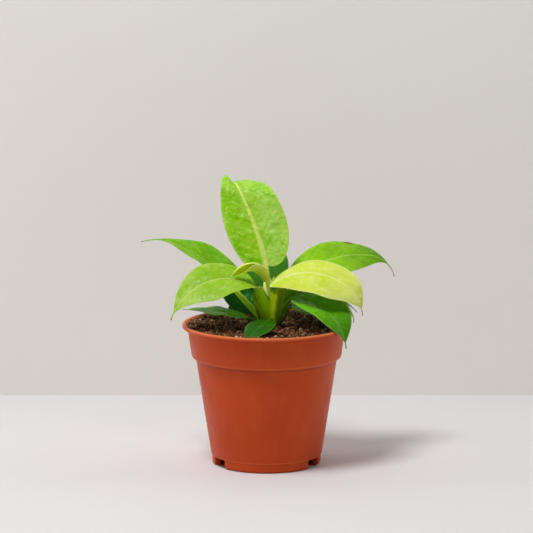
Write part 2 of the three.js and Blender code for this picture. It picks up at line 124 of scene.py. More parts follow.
class Graph:
    """A material and short calls for the nodes that it is made of."""

    def __init__(self, name: str) -> None:
        """Starts an empty node tree.

        Args:
            name: the material's name.
        """
        self.material = bpy.data.materials.new(name)
        self.material.use_nodes = True
        self.tree = self.material.node_tree
        self.tree.nodes.clear()
        self.output = self.tree.nodes.new("ShaderNodeOutputMaterial")

    def node(self, kind: str, inputs: Optional[dict] = None, **settings: object) -> bpy.types.Node:
        """Adds a node.

        Args:
            kind: the node's type, without the leading ShaderNode.
            inputs: a value or a socket for each named or numbered input.
            settings: the node's own properties.

        Returns:
            The new node.
        """
        made = self.tree.nodes.new("ShaderNode" + kind)
        for name, value in settings.items():
            setattr(made, name, value)
        for key, value in (inputs or {}).items():
            if isinstance(value, bpy.types.NodeSocket):
                self.tree.links.new(value, made.inputs[key])
            else:
                made.inputs[key].default_value = value
        return made

    def math(self, operation: str, first: Value, second: Value = 0.0, third: Value = 0.0) -> Socket:
        """Returns the result of a Math node."""
        return self.node("Math", {0: first, 1: second, 2: third}, operation=operation).outputs[0]

    def times(self, first: Value, second: Value) -> Socket:
        """Returns two values multiplied."""
        return self.math("MULTIPLY", first, second)

    def ramp(self, value: Value, low: float, high: float, start: float = 0.0, end: float = 1.0) -> Socket:
        """Maps the range from low to high smoothly to the range from start to end."""
        inputs = {"Value": value, "From Min": low, "From Max": high, "To Min": start, "To Max": end}
        return self.node("MapRange", inputs, interpolation_type="SMOOTHSTEP").outputs[0]

    def coats(self, painted: Paint, *layers: Coat) -> Paint:
        """Lays colours over one another.

        Args:
            painted: the colour below them all, as a screen colour or a socket.
            layers: each colour on top, where it shows, from 0 to 1, and how strongly.

        Returns:
            The blended colour's socket.
        """
        for over, mask, strength in layers:
            below, above = (colour(c) if isinstance(c, str) else c for c in (painted, over))
            inputs = {0: self.times(mask, strength), 6: below, 7: above}
            painted = self.node("Mix", inputs, data_type="RGBA").outputs[2]
        return painted

    def object_place(self, scale: Sequence[float] = (1.0, 1.0, 1.0)) -> Socket:
        """Returns the place on the piece, stretched by scale."""
        place = self.node("TexCoord").outputs["Object"]
        return self.node("Mapping", {"Vector": place, "Scale": scale}).outputs[0]

    def grain(self, place: Socket, scale: float, detail: float = 3.0, roughness: float = 0.55) -> Socket:
        """Returns soft noise of the given scale, from 0 to 1."""
        inputs = {"Vector": place, "Scale": scale, "Detail": detail, "Roughness": roughness}
        return self.node("TexNoise", inputs).outputs["Fac"]

    def patches(
        self, place: Socket, scale: float, low: float, high: float, detail: float = 3.0,
        roughness: float = 0.55,
    ) -> Socket:
        """Returns soft-edged patches, which start where the noise passes low and are full at high."""
        return self.ramp(self.grain(place, scale, detail, roughness), low, high)

    def streaks(
        self, across: Socket, length: Socket, fine: float, long: float, layer: Value = 0.0
    ) -> Socket:
        """Returns a place drawn out along the piece, for noise that has to run in streaks."""
        parts = {0: self.times(across, fine), 1: self.times(length, long), 2: layer}
        return self.node("CombineXYZ", parts).outputs[0]

    def from_middle(self, across: Socket) -> Socket:
        """Returns the distance from a sheet's middle line, 1 at its sides."""
        return self.math("ABSOLUTE", self.math("MULTIPLY_ADD", across, 2.0, -1.0))

    def uv(self, name: str) -> tuple[Socket, Socket]:
        """Returns the two numbers of the piece's own UV map of that name."""
        parts = self.node("SeparateXYZ", {0: self.node("UVMap", uv_map=name).outputs[0]})
        return parts.outputs[0], parts.outputs[1]

    def attribute(self, name: str) -> Socket:
        """Returns the piece's own attribute of that name as a number."""
        return self.node("Attribute", attribute_name=name).outputs["Fac"]

    def bump(self, height: Socket, strength: float, size: float, under: Optional[Socket] = None) -> Socket:
        """Turns a height into fine relief.

        Args:
            height: the height, from 0 to 1.
            strength: how strongly it shows.
            size: the height's real size in metres.
            under: the normal of finer relief below it.

        Returns:
            The normal's socket.
        """
        inputs = {"Height": height, "Strength": strength, "Distance": size}
        if under is not None:
            inputs["Normal"] = under
        return self.node("Bump", inputs).outputs[0]

    def finish(self, **inputs: Value) -> bpy.types.Material:
        """Closes the tree with a Principled shader.

        Args:
            inputs: the shader's inputs, with an underscore for each space.

        Returns:
            The finished material.
        """
        named = {key.replace("_", " "): value for key, value in inputs.items()}
        shader = self.node("BsdfPrincipled", named)
        self.tree.links.new(shader.outputs[0], self.output.inputs[0])
        return self.material


@dataclass(frozen=True)
class LeafFinish:
    """The skin of a leaf: its colours, how strongly each mark shows, and its gloss."""

    name: str
    slot: str
    body: str
    deep: str
    pale: str
    rib: str
    edge: str
    stalk: str
    stalk_base: str
    tip: str
    under: str
    mottle: float = 0.3
    patches: float = 0.6
    specks: float = 0.35
    painted_glints: float = 0.0
    veins: float = 0.12
    rib_width: float = 0.45
    rib_share: float = 0.75
    edge_share: float = 0.6
    under_share: float = 0.65
    painted_sheen_side: float = 0.0
    painted_end_sheen: float = 0.0
    end_share: float = 0.0
    tip_start: float = 0.965
    gloss: float = 0.3
    shine: float = 0.22
    puckers: float = 0.35
    glow: float = 0.15
    scar: Optional[Pair] = None
    scar_brown: str = "7a2c0c"
    vein_gap: float = 3.9
    fine_vein_gap: float = 1.05

    def colours(self, graph: Graph) -> Paint:
        """Paints the leaf from its patches up to its midrib and stalk, with painted sheen and painted glints
        among its marks.

        Args:
            graph: the material to paint in.

        Returns:
            The colour's socket.
        """
        place = graph.object_place()
        across, share = graph.uv("leaf")
        side, length = graph.uv("span")
        from_rib = graph.math("ABSOLUTE", side)
        # painted sheen: one side of the blade turns lighter, in place of the reflection of the bright
        # surroundings
        sheen_on_side = graph.times(graph.ramp(across, 0.47, 0.75), graph.patches(place, 60.0, 0.35, 0.6))
        # painted sheen: the outer part of the blade turns lighter where its bend catches the light
        sheen_near_end = graph.times(graph.ramp(share, 0.45, 0.8), graph.patches(place, 80.0, 0.3, 0.6))
        painted = graph.coats(
            self.body,
            (self.under, graph.attribute("under"), self.under_share),
            (self.deep, graph.patches(place, 90.0, 0.38, 0.68, 3.0, 0.6), self.patches),
            # pale mottling: partly the leaf's own tone, partly painted sheen
            (self.pale, graph.patches(place, 150.0, 0.42, 0.74, 5.0, 0.7), self.mottle),
            (self.pale, sheen_on_side, self.painted_sheen_side),
            (self.pale, sheen_near_end, self.painted_end_sheen),
            (self.deep, graph.ramp(share, 0.3, 0.85), self.end_share),
            (self.deep, graph.patches(place, 620.0, 0.55, 0.78, 3.0, 0.7), self.specks),
            # painted glints: small pale dots in the rib colour stand in for wet-looking highlights
            (self.rib, graph.patches(place, 400.0, 0.56, 0.68, 4.0, 0.75), self.painted_glints),
            (self.rib, self.vein_lines(graph, from_rib, length), self.veins),
            (self.edge, graph.ramp(graph.from_middle(across), 0.9, 0.985), self.edge_share),
            (self.rib, self.midrib(graph, from_rib, share), self.rib_share),
            (self.tip, graph.ramp(share, self.tip_start, 0.995), 1.0),
        )
        if self.scar:
            painted = graph.coats(painted, (self.scar_brown, self.scarred(graph, across, share), 1.0))
        return graph.coats(painted, (self.stalk_colour(graph), graph.attribute("petiole"), 1.0))

    def vein_lines(self, graph: Graph, from_rib: Socket, length: Socket) -> Socket:
        """Draws the fine side veins, which sweep from the midrib towards the tip.

        Args:
            graph: the material to draw in.
            from_rib: the distance from the midrib, in tenths of a metre.
            length: the distance along the blade, in tenths of a metre.

        Returns:
            How much of a vein shows.
        """
        start = graph.math("SUBTRACT", length, graph.times(from_rib, 0.95))
        bowed = graph.math("MULTIPLY_ADD", graph.times(from_rib, from_rib), -1.6, start)
        wavy = graph.math("MULTIPLY_ADD", graph.grain(graph.object_place(), 140.0, 2.0), 0.02, bowed)
        thick, thin = (
            graph.ramp(graph.math("PINGPONG", graph.times(wavy, 100.0 / gap), 1.0), width, 0.0)
            for gap, width in ((self.vein_gap, 0.3), (self.fine_vein_gap, 0.45))
        )
        faded = graph.ramp(graph.grain(graph.object_place(), 75.0, 2.0), 0.35, 0.62, 0.25, 1.0)
        return graph.times(graph.math("MULTIPLY_ADD", thin, 0.45, thick), faded)

    def midrib(self, graph: Graph, from_rib: Socket, share: Socket) -> Socket:
        """Draws the midrib, which narrows towards the tip.

        Args:
            graph: the material to draw in.
            from_rib: the distance from the midrib, in tenths of a metre.
            share: how far along the blade, from 0 to 1.

        Returns:
            How much of the midrib shows.
        """
        half = graph.math("MULTIPLY_ADD", share, -0.0088 * self.rib_width, 0.0112 * self.rib_width)
        wobble = graph.math("MULTIPLY_ADD", graph.grain(graph.object_place(), 300.0, 2.0), 0.5, -0.25)
        return graph.ramp(graph.math("ADD", graph.math("DIVIDE", from_rib, half), wobble), 1.5, 0.45)

    def scarred(self, graph: Graph, across: Socket, share: Socket) -> Socket:
        """Draws a small withered spot with a ragged edge.

        Args:
            graph: the material to draw in.
            across: the place across the blade, from 0 to 1.
            share: how far along the blade, from 0 to 1.

        Returns:
            How much of the spot shows.
        """
        off = graph.math("SUBTRACT", across, self.scar[0])
        past = graph.times(graph.math("SUBTRACT", share, self.scar[1]), 3.0)
        away = graph.math("SQRT", graph.math("MULTIPLY_ADD", off, off, graph.times(past, past)))
        grain = graph.grain(graph.object_place(), 500.0, 3.0)
        return graph.ramp(graph.math("MULTIPLY_ADD", grain, 0.12, away), 0.17, 0.12)

    def stalk_colour(self, graph: Graph) -> Paint:
        """Paints the stalk, streaked along its length and darker towards the soil, where painted shade falls
        deep in the crown.

        Args:
            graph: the material to paint in.

        Returns:
            The colour's socket.
        """
        around, length = graph.uv("span")
        lines = graph.patches(graph.streaks(around, length, 160.0, 9.0), 1.0, 0.38, 0.68)
        # painted shade: the stalk takes its darker base colour deep in the crown
        low = graph.ramp(graph.attribute("depth"), 0.0, 1.0)
        return graph.coats(self.stalk, (self.stalk_base, lines, 0.35), (self.stalk_base, low, 1.0))

    def make(self) -> bpy.types.Material:
        """Makes the material.

        Returns:
            The finished material.
        """
        graph = Graph(self.name)
        place = graph.object_place()
        gloss = graph.ramp(graph.grain(place, 160.0, 3.0), 0.3, 0.7, self.gloss - 0.07, self.gloss + 0.12)
        pores = graph.bump(graph.grain(place, 900.0, 4.0, 0.6), 0.25, 0.0003)
        small = graph.bump(graph.grain(place, 330.0, 3.0), self.puckers, 0.0012, pores)
        return graph.finish(
            Base_Color=self.colours(graph),
            Roughness=graph.math("MULTIPLY_ADD", graph.attribute("under"), 0.2, gloss),
            Normal=graph.bump(graph.grain(place, 140.0, 2.0), self.puckers, 0.0025, small),
            IOR=1.35,
            Specular_IOR_Level=self.shine,
            Subsurface_Weight=self.glow,
            Subsurface_Radius=(0.6, 1.0, 0.15),
            Subsurface_Scale=0.001,
        )


@dataclass(frozen=True)
class SheathFinish:
    """The skin of the leaf bases in the crown, from deep green to papery yellow, with painted shade low in
    the crown.
    """

    name: str
    dark: str = "466c02"
    green: str = "76b602"
    olive: str = "aac604"
    paper: str = "f0f8a4"
    edge: str = "c2d84c"

    def make(self) -> bpy.types.Material:
        """Makes the material, which reads each sheath's own tone and its height above the soil, and paints
        shade where it stands low in the crown.

        Returns:
            The finished material.
        """
        graph = Graph(self.name)
        across, share = graph.uv("leaf")
        tone = graph.attribute("tone")
        drawn = graph.streaks(across, share, 26.0, 2.5, tone)
        rim = graph.times(graph.ramp(graph.from_middle(across), 0.8, 0.97), graph.attribute("rim"))
        painted = graph.coats(
            self.green,
            (self.olive, graph.ramp(tone, 0.0, 0.5), 1.0),
            (self.paper, graph.ramp(tone, 0.55, 1.0), 1.0),
            (self.green, graph.patches(drawn, 1.0, 0.35, 0.72, 4.0, 0.6), 0.25),
            (self.edge, rim, 0.8),
            # painted shade: darker deep in the crown, where the sheaths shade one another
            (self.dark, graph.ramp(graph.attribute("depth"), 0.0, 1.0), 0.8),
        )
        return graph.finish(
            Base_Color=painted,
            Roughness=0.4,
            Normal=graph.bump(graph.grain(drawn, 1.4, 3.0), 0.3, 0.0004),
            IOR=1.3,
            Specular_IOR_Level=0.15,
            Subsurface_Weight=0.2,
            Subsurface_Radius=(0.6, 1.0, 0.15),
            Subsurface_Scale=0.0015,
        )


@dataclass(frozen=True)
class PlasticFinish:
    """Satin moulded plastic with faint flow marks, scuffs and dust, painted highlights on its edges and
    painted shadow under its band and lip.
    """

    name: str
    body: str = "d24a0c"
    highlight_and_wear: str = "e88850"
    dark: str = "b43a0a"
    painted_shadow: str = "7c2206"
    dust: str = "d9a080"
    gloss: float = 0.42

    def make(self) -> bpy.types.Material:
        """Makes the material, which reads where highlight and wear are painted on the edges and where shadow
        is painted under the band and the lip.

        Returns:
            The finished material.
        """
        graph = Graph(self.name)
        place = graph.object_place()
        drawn = graph.object_place((1.0, 1.0, 0.22))
        painted = graph.coats(
            self.body,
            (self.dark, graph.patches(place, 26.0, 0.35, 0.68, 2.0), 0.3),
            (self.highlight_and_wear, graph.patches(drawn, 210.0, 0.42, 0.75, 4.0, 0.6), 0.07),
            (self.dust, graph.patches(place, 1500.0, 0.66, 0.78, 3.0, 0.7), 0.08),
            # painted shadow: dark lines under the band and under the lip
            (self.painted_shadow, graph.ramp(graph.attribute("painted_shadow"), 0.0, 1.0), 0.6),
            # painted highlights with some wear on the lip, the band step and the foot ledge
            (self.highlight_and_wear, graph.ramp(graph.attribute("edge"), 0.0, 1.0), 0.6),
        )
        satin = graph.ramp(graph.grain(place, 75.0, 4.0), 0.3, 0.7, self.gloss - 0.05, self.gloss + 0.1)
        skin = graph.bump(graph.grain(place, 1700.0, 3.0), 0.12, 0.0002)
        return graph.finish(
            Base_Color=painted,
            Roughness=satin,
            Normal=graph.bump(graph.grain(place, 38.0, 2.0), 0.25, 0.0012, skin),
            IOR=1.4,
            Specular_IOR_Level=0.3,
        )


@dataclass(frozen=True)
class SoilFinish:
    """Damp potting mix: near-black peat with brown, reddish and tan bits."""

    name: str
    black: str = "3c2611"
    brown: str = "a0724a"
    tan: str = "f0cfa2"
    red: str = "a45a36"
    wet: str = "1c1008"

    def make(self) -> bpy.types.Material:
        """Makes the material, which reads each crumb's own tint.

        Returns:
            The finished material.
        """
        graph = Graph(self.name)
        place = graph.object_place()
        tint = graph.attribute("tint")
        painted = graph.coats(
            self.black,
            (self.brown, graph.ramp(tint, 0.15, 0.55), 1.0),
            (self.red, graph.ramp(tint, 0.6, 0.72), 1.0),
            (self.tan, graph.ramp(tint, 0.82, 1.0), 1.0),
            (self.wet, graph.patches(place, 700.0, 0.35, 0.7, 4.0, 0.7), 0.4),
        )
        rough = graph.ramp(graph.grain(place, 300.0), 0.3, 0.7, 0.75, 0.95)
        relief = graph.bump(graph.grain(place, 2200.0, 4.0, 0.7), 0.8, 0.0004)
        return graph.finish(Base_Color=painted, Roughness=rough, Normal=relief, IOR=1.4)


@dataclass(frozen=True)
class StageFinish:
    """A plain matt floor or backdrop, which glows as painted light where glow is set and which a camera
    behind it looks through if it is one-sided.
    """

    name: str
    tone: str
    one_sided: bool = False
    glow: float = 0.0

    def make(self) -> bpy.types.Material:
        """Makes the material.

        Returns:
            The finished material.
        """
        graph = Graph(self.name)
        clouds = graph.patches(graph.object_place(), 6.0, 0.3, 0.7)
        tone = graph.coats(self.tone, ("ffffff", clouds, 0.06))
        material = graph.finish(
            Base_Color=tone, Roughness=0.9, Specular_IOR_Level=0.1, Emission_Color=tone,
            Emission_Strength=self.glow,
        )
        if self.one_sided:
            shader = graph.output.inputs[0].links[0].from_socket
            behind = graph.node("NewGeometry").outputs["Backfacing"]
            clear = graph.node("BsdfTransparent").outputs[0]
            shown = graph.node("MixShader", {0: behind, 1: shader, 2: clear})
            graph.tree.links.new(shown.outputs[0], graph.output.inputs[0])
        return material


class Greens(Enum):
    """The finishes of the leaves, with their colours from the body to the underside in order."""

    LIME = LeafFinish(
        "lime_leaf", "leaf_lime",
        "d2e640", "c4da28", "eaf298", "eef4a0", "ecf4a0", "b4c818", "86a808", "86962c", "c9da55",
        patches=0.5, mottle=0.55, veins=0.14, rib_width=1.1, rib_share=0.6, gloss=0.36, glow=0.3,
        tip_start=0.88, painted_end_sheen=0.5, painted_glints=0.5,
    )
    YELLOW = LeafFinish(
        "new_leaf", "leaf_yellow",
        "eeff00", "dcec08", "f2fc98", "e2f080", "f6fcb4", "dcf63c", "c8ec14", "f2f0b0", "e0fc4c",
        patches=0.4, mottle=0.25, veins=0.0, rib_width=1.0, rib_share=0.3, under_share=1.0, gloss=0.4,
        shine=0.2, glow=0.6, puckers=0.25,
    )
    TOP = LeafFinish(
        "top_leaf", "leaf_bright",
        "9cd40c", "82c602", "c6ec78", "eaf68a", "c4e864", "e6f684", "cce04c", "7fae20", "a8d44a",
        mottle=0.5, patches=0.85, veins=0.1, rib_width=1.6, gloss=0.24, shine=0.32, glow=0.3, puckers=0.65,
        painted_sheen_side=0.6, end_share=0.3, painted_glints=0.6,
    )
    BRIGHT = LeafFinish(
        "bright_leaf", "leaf_bright",
        "90c004", "7cb402", "c6e27e", "cfe278", "aed24a", "c5da62", "6f980c", "4a3f14", "9cc838",
        mottle=0.35, veins=0.22, rib_width=0.75, rib_share=0.8, glow=0.28, painted_end_sheen=0.6, painted_glints=0.45,
    )
    MID = LeafFinish(
        "mid_green_leaf", "leaf_mid",
        "76b402", "60a200", "9fce40", "b4d656", "98cc3c", "d0ff44", "b6f01c", "3f6a12", "8abf30",
        mottle=0.4, patches=0.65, veins=0.18, rib_width=0.65, shine=0.14, glow=0.25,
    )
    FADING = LeafFinish(
        "fading_leaf", "leaf_mid",
        "8cc604", "4c8a00", "a6d244", "b8d85a", "9cce40", "d8f050", "c4e828", "3a5a12", "8abf30",
        mottle=0.4, patches=0.5, veins=0.18, rib_width=0.65, shine=0.14, glow=0.25, end_share=0.8,
        scar=(0.0, 0.56), painted_glints=0.4,
    )
    FRESH = LeafFinish(
        "fresh_leaf", "leaf_dark",
        "78c40e", "5aa404", "90cc3c", "98c84c", "9ccc5c", "86b030", "5c8c10", "4d6a1e", "6aa838",
        veins=0.15, rib_share=0.7, shine=0.35, glow=0.2,
    )
    DARK = LeafFinish(
        "dark_leaf", "leaf_dark",
        "6ebe08", "307804", "8ac838", "8abf46", "9ccc5c", "7ab024", "64980c", "5d6a1e", "4e962c",
        mottle=0.25, patches=0.25, veins=0.15, rib_width=0.5, rib_share=0.7, gloss=0.24, shine=0.35,
        end_share=0.85, scar=(0.1, 0.04),
    )
    SMALL = LeafFinish(
        "small_leaf", "leaf_dark",
        "246204", "184a02", "3e7c18", "54902a", "74a840", "5c8c18", "426c09", "5d6a1e", "3a7a20",
        rib_width=0.4, rib_share=0.5, shine=0.25,
    )
    BACK = LeafFinish(
        "back_leaf", "leaf_deep",
        "84cc5c", "5cb440", "98d874", "8cc860", "7cc86c", "6d9c34", "4b7c10", "24472c", "5ca440",
        patches=0.5, rib_share=0.5, gloss=0.34, shine=0.2,
    )
    DEEP = LeafFinish(
        "deep_leaf", "leaf_deep",
        "2c7a2c", "185c20", "489048", "569a50", "4c9850", "4d8030", "33600e", "24472c", "3a7c34",
        rib_share=0.5, gloss=0.24, shine=0.5, glow=0.12,
    )


# Making pieces


class Skin:
    """A mesh in the making, with the UV maps and the attributes that the finishes read."""

    def __init__(self) -> None:
        """Starts an empty mesh."""
        self.bm = bmesh.new()
        for name in ("leaf", "span"):
            self.bm.loops.layers.uv.new(name)
        for name in ("petiole", "under", "depth", "tone", "rim"):
            self.bm.verts.layers.float.new(name)

    def mark(self, verts: Verts, **marks: float) -> None:
        """Gives vertices a value of each named attribute."""
        for name, value in marks.items():
            layer = self.bm.verts.layers.float[name]
            for vert in verts:
                vert[layer] = value

    def sheet(self, across: int, rows: int, place: Callable[[float, float], Placed]) -> Verts:
        """Adds a grid and carries each of its points to its place.

        Args:
            across: the number of faces across.
            rows: the number of faces along.
            place: takes the shares across and along, and gives a point in mm and its two UV pairs.

        Returns:
            The grid's vertices.
        """
        verts = bmesh.ops.create_grid(self.bm, x_segments=across, y_segments=rows, size=1.0)["verts"]
        placed = {v: place((v.co.x + 1.0) / 2.0, (v.co.y + 1.0) / 2.0) for v in verts}
        leaf, span = self.bm.loops.layers.uv["leaf"], self.bm.loops.layers.uv["span"]
        for face in {f for v in verts for f in v.link_faces}:
            face.smooth = True
            for loop in face.loops:
                _, loop[leaf].uv, loop[span].uv = placed[loop.vert]
        for vert in verts:
            vert.co = placed[vert][0] * MM
        return verts

    @staticmethod
    def open_edges(verts: Verts) -> list[bmesh.types.BMEdge]:
        """Returns the open edges round a sheet."""
        return list({e for v in verts for e in v.link_edges if e.is_boundary})

    def shell(self, across: int, rows: int, place: Callable[[float, float, bool], Placed]) -> Verts:
        """Adds a thin closed skin from an upper and an under sheet.

        Args:
            across: the number of faces across.
            rows: the number of faces along.
            place: takes the shares across and along and whether it is the underside.

        Returns:
            The skin's vertices.
        """
        upper = self.sheet(across, rows, lambda u, s: place(u, s, False))
        lower = self.sheet(across, rows, lambda u, s: place(u, s, True))
        self.mark(lower, under=1.0)
        edges = self.open_edges(upper) + self.open_edges(lower)
        for face in bmesh.ops.bridge_loops(self.bm, edges=edges)["faces"]:
            face.smooth = True
        return upper + lower

    def tube(self, around: int, rows: int, place: Callable[[float, float], Placed]) -> Verts:
        """Adds a closed tube from a grid whose long sides meet.

        Args:
            around: the number of faces round it.
            rows: the number of faces along it.
            place: takes the shares round and along the tube.

        Returns:
            The tube's vertices, without those that were merged.
        """
        verts = self.sheet(around, rows, place)
        gone = bmesh.ops.find_doubles(self.bm, verts=verts, dist=1e-7)["targetmap"]
        bmesh.ops.weld_verts(self.bm, targetmap=gone)
        left = [v for v in verts if v.is_valid]
        bmesh.ops.holes_fill(self.bm, edges=self.open_edges(left), sides=around + 1)
        return left

    def shade(self, verts: Verts, top: float, reach: float) -> None:
        """Marks how deep the vertices stand in the crown, for painted shade: 0 at the height top, 1 at reach
        below.
        """
        layer = self.bm.verts.layers.float["depth"]
        for vert in verts:
            vert[layer] = clamp01((top - vert.co.z / MM) / reach)


def added(
    bm: bmesh.types.BMesh, name: str, material: Optional[bpy.types.Material] = None
) -> bpy.types.Object:
    """Turns a bmesh into an object of the scene.

    Args:
        bm: the mesh, which is freed.
        name: the object's name.
        material: its finish.

    Returns:
        The new object, at the origin.
    """
    mesh = bpy.data.meshes.new(name)
    bm.to_mesh(mesh)
    bm.free()
    if material:
        mesh.materials.append(material)
    made = bpy.data.objects.new(name, mesh)
    bpy.context.scene.collection.objects.link(made)
    return made


def piece(
    bm: bmesh.types.BMesh, name: str, material: bpy.types.Material, recalc: bool = True
) -> bpy.types.Object:
    """Turns a finished bmesh into a piece that rides on the body.

    Args:
        bm: the mesh, which is freed.
        name: the piece's name.
        material: its finish.
        recalc: whether the faces still have to be turned outwards.

    Returns:
        The new piece.
    """
    if recalc:
        bmesh.ops.recalc_face_normals(bm, faces=bm.faces)
    made = added(bm, name, material)
    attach(made, BODY)
    return made


def spun(bm: bmesh.types.BMesh, line: Verts, steps: int) -> None:
    """Joins a line of vertices by edges and spins it once round the z axis.

    Args:
        bm: the mesh, which holds nothing but the vertices.
        line: the vertices in order.
        steps: the number of faces round the axis.
    """
    for first, second in zip(line, line[1:]):
        bm.edges.new((first, second))
    bmesh.ops.spin(
        bm, geom=bm.verts[:] + bm.edges[:], cent=(0, 0, 0), axis=(0, 0, 1), angle=2 * math.pi, steps=steps,
        use_merge=True,
    )
    bmesh.ops.remove_doubles(bm, verts=bm.verts, dist=1e-6)


def report(made: bpy.types.Object, words: str) -> None:
    """Logs a piece with its number of faces."""
    LOG.info("%s: %s, %d faces", made.name, words, len(made.data.polygons))


# Leaves


@dataclass(frozen=True)
class Bend:
    """The curl at a blade's end: its angle, where it starts, the fold's slant and the left half's delay."""

    angle: float = 0.0
    start: float = 0.84
    slant: float = 0.0
    late: float = 0.0


@dataclass(frozen=True)
class Stalk:
    """A leaf's stalk: its length, the way it sets off, how it rises and its radius."""

    length: float
    heading: float
    rise: Pair
    radius: Pair


@dataclass(frozen=True)
class Frame:
    """The directions forward, sideways and up from a leaf's face at one place."""

    forward: Vector
    side: Vector
    normal: Vector


@dataclass
class Leaf:
    """One leaf with its stalk. Its angles are in degrees, at its base, its middle and its tip."""

    name: str
    node: str
    green: Greens
    foot: Triple
    stalk: Stalk
    blade: float
    heading: Triple
    rise: Triple
    roll: Triple
    half: Pair
    fold: Triple = (10, 8, 5)
    droop: Triple = (10, 12, 10)
    bend: Bend = Bend()
    widest: float = 0.42
    round: float = 0.6
    taper: float = 1.25
    tail: float = 0.07
    lobe: float = 0.0
    wave: float = 0.5
    pucker: float = 0.22
    root: float = 2.2
    base_width: float = 1.5
    route: Optional[tuple[Triple, Triple, Triple]] = None
    route_radius: Pair = (1.9, 0.8)
    joint: float = 0.0
    neck: float = 7.0
    thickness: float = 0.45
    least_half: float = 0.4
    rib: float = 0.75
    groove: float = 0.25
    vein_gap: float = 4.6
    quilt: float = 0.07
    sweep: Pair = (0.75, 0.011)
    waves: float = 5.0
    wave_starts: Pair = (2.3, 0.6)
    stem: Pair = (1.5, 0.8)
    buried: float = 12.0
    shade: Pair = (112.0, 22.0)
    mesh: tuple[int, int] = (72, 130)
    line: list[Vector] = field(default_factory=list)
    frames: dict[float, Frame] = field(default_factory=dict)

    def reach(self) -> float:
        """Returns the length of the stalk with the neck."""
        return self.stalk.length + self.neck

    def frame_at(self, distance: float) -> Frame:
        """Finds the leaf's directions.

        Args:
            distance: how far from the foot, in mm.

        Returns:
            The directions there.
        """
        key = round(distance, 4)
        if key in self.frames:
            return self.frames[key]
        stalk = self.stalk
        on_stalk = clamp01(distance / stalk.length)
        share = clamp01((distance - self.reach()) / self.blade)
        turn = smooth((distance - stalk.length) / self.neck)
        heading = math.radians(mix(stalk.heading, along(self.heading, share), turn))
        rise = math.radians(mix(mix(stalk.rise[0], stalk.rise[1], on_stalk), along(self.rise, share), turn))
        level = math.cos(rise)
        forward = Vector((level * math.cos(heading), level * math.sin(heading), math.sin(rise)))
        side = Vector((math.sin(heading), -math.cos(heading), 0.0))
        roll = -math.radians(along(self.roll, share)) * smooth(distance / self.reach())
        side.rotate(Matrix.Rotation(roll, 3, forward))
        self.frames[key] = Frame(forward, side, side.cross(forward))
        return self.frames[key]

    def trace(self) -> None:
        """Walks from the foot to the tip and keeps the line's points."""
        total = self.reach() + self.blade
        steps = math.ceil(total)
        point = Vector(self.foot)
        self.line = [point.copy()]
        for i in range(steps):
            point = point + self.frame_at((i + 0.5) * total / steps).forward * (total / steps)
            self.line.append(point.copy())

    def line_at(self, distance: float) -> Vector:
        """Finds a point of the leaf's middle line.

        Args:
            distance: how far from the foot, in mm.

        Returns:
            The point there, in mm.
        """
        total = self.reach() + self.blade
        place = clamp01(distance / total) * (len(self.line) - 1)
        low = min(int(place), len(self.line) - 2)
        return self.line[low].lerp(self.line[low + 1], place - low)

    def half_at(self, share: float, across: float) -> Pair:
        """Works out the blade's outline, round at the base and drawn out to the tip.

        Args:
            share: how far along the blade, from 0 to 1.
            across: the place across it, from -1 to 1.

        Returns:
            The half width as a share of its widest, and in mm on that side.
        """
        place = clamp01(share / (1.0 - self.tail))
        if place < self.widest:
            width = (1.0 - (1.0 - place / self.widest) ** 2) ** self.round
        else:
            past = (place - self.widest) / (1.0 - self.widest)
            width = max(0.0, 1.0 - past**2.1) ** self.taper
        return width, self.half[0 if across < 0.0 else 1] * width + self.least_half

    def bent(self, point: Vector, across: float) -> Vector:
        """Curls what lies past the start of the bend down round a cylinder.

        Args:
            point: a point of the flat blade.
            across: the place across the blade, from -1 to 1.

        Returns:
            The point's place on the curled blade.
        """
        if self.bend.angle == 0.0:
            return point
        angle = math.radians(self.bend.angle)
        start = self.reach() + self.bend.start * self.blade
        reach = (1.0 - self.bend.start) * self.blade
        radius = reach / angle
        frame = self.frame_at(start)
        slant = math.radians(self.bend.slant)
        ahead = frame.forward * math.cos(slant) - frame.side * math.sin(slant)
        late = self.bend.late * smooth(-across / 0.5)
        offset = point - self.line_at(start) - ahead * late
        past, above = offset.dot(ahead), offset.dot(frame.normal)
        if past <= 0.0:
            return point
        swing = angle * min(past / reach, 1.0)
        beyond = max(past - reach, 0.0)
        out = radius * math.sin(swing) + beyond * math.cos(swing) + above * math.sin(swing)
        up = above * math.cos(swing) - radius * (1.0 - math.cos(swing)) - beyond * math.sin(swing)
        return point + ahead * (out - past) + frame.normal * (up - above)

    def relief(self, share: float, across: float, half: float) -> float:
        """Raises and sinks the skin of the blade.

        Args:
            share: how far along the blade.
            across: the place across it, from -1 to 1.
            half: the half width there, in mm.

        Returns:
            The height above the smooth blade, in mm.
        """
        off = abs(across) * half
        ends = smooth(share / 0.06) * smooth((1.0 - share) / 0.1)
        inner = 1.0 - abs(across) ** 6
        rib = -self.groove * (1.0 - 0.7 * share) * bump_at(off, 0.0, 1.0 - 0.5 * share)
        start = share * self.blade - self.sweep[0] * off - self.sweep[1] * off * off
        quilt = -self.quilt * math.cos(2.0 * math.pi * start / self.vein_gap) * smooth(off / 2.5)
        seed = Vector((self.foot[0] * 7.1, self.foot[1] * 5.3, self.blade))
        where = Vector((across * half / 5.0, share * self.blade / 5.5, 0.0)) + seed
        blister = self.pucker * (noise.noise(where) + 0.5 * noise.noise(where * 2.1))
        return (rib + (quilt + blister) * inner) * ends

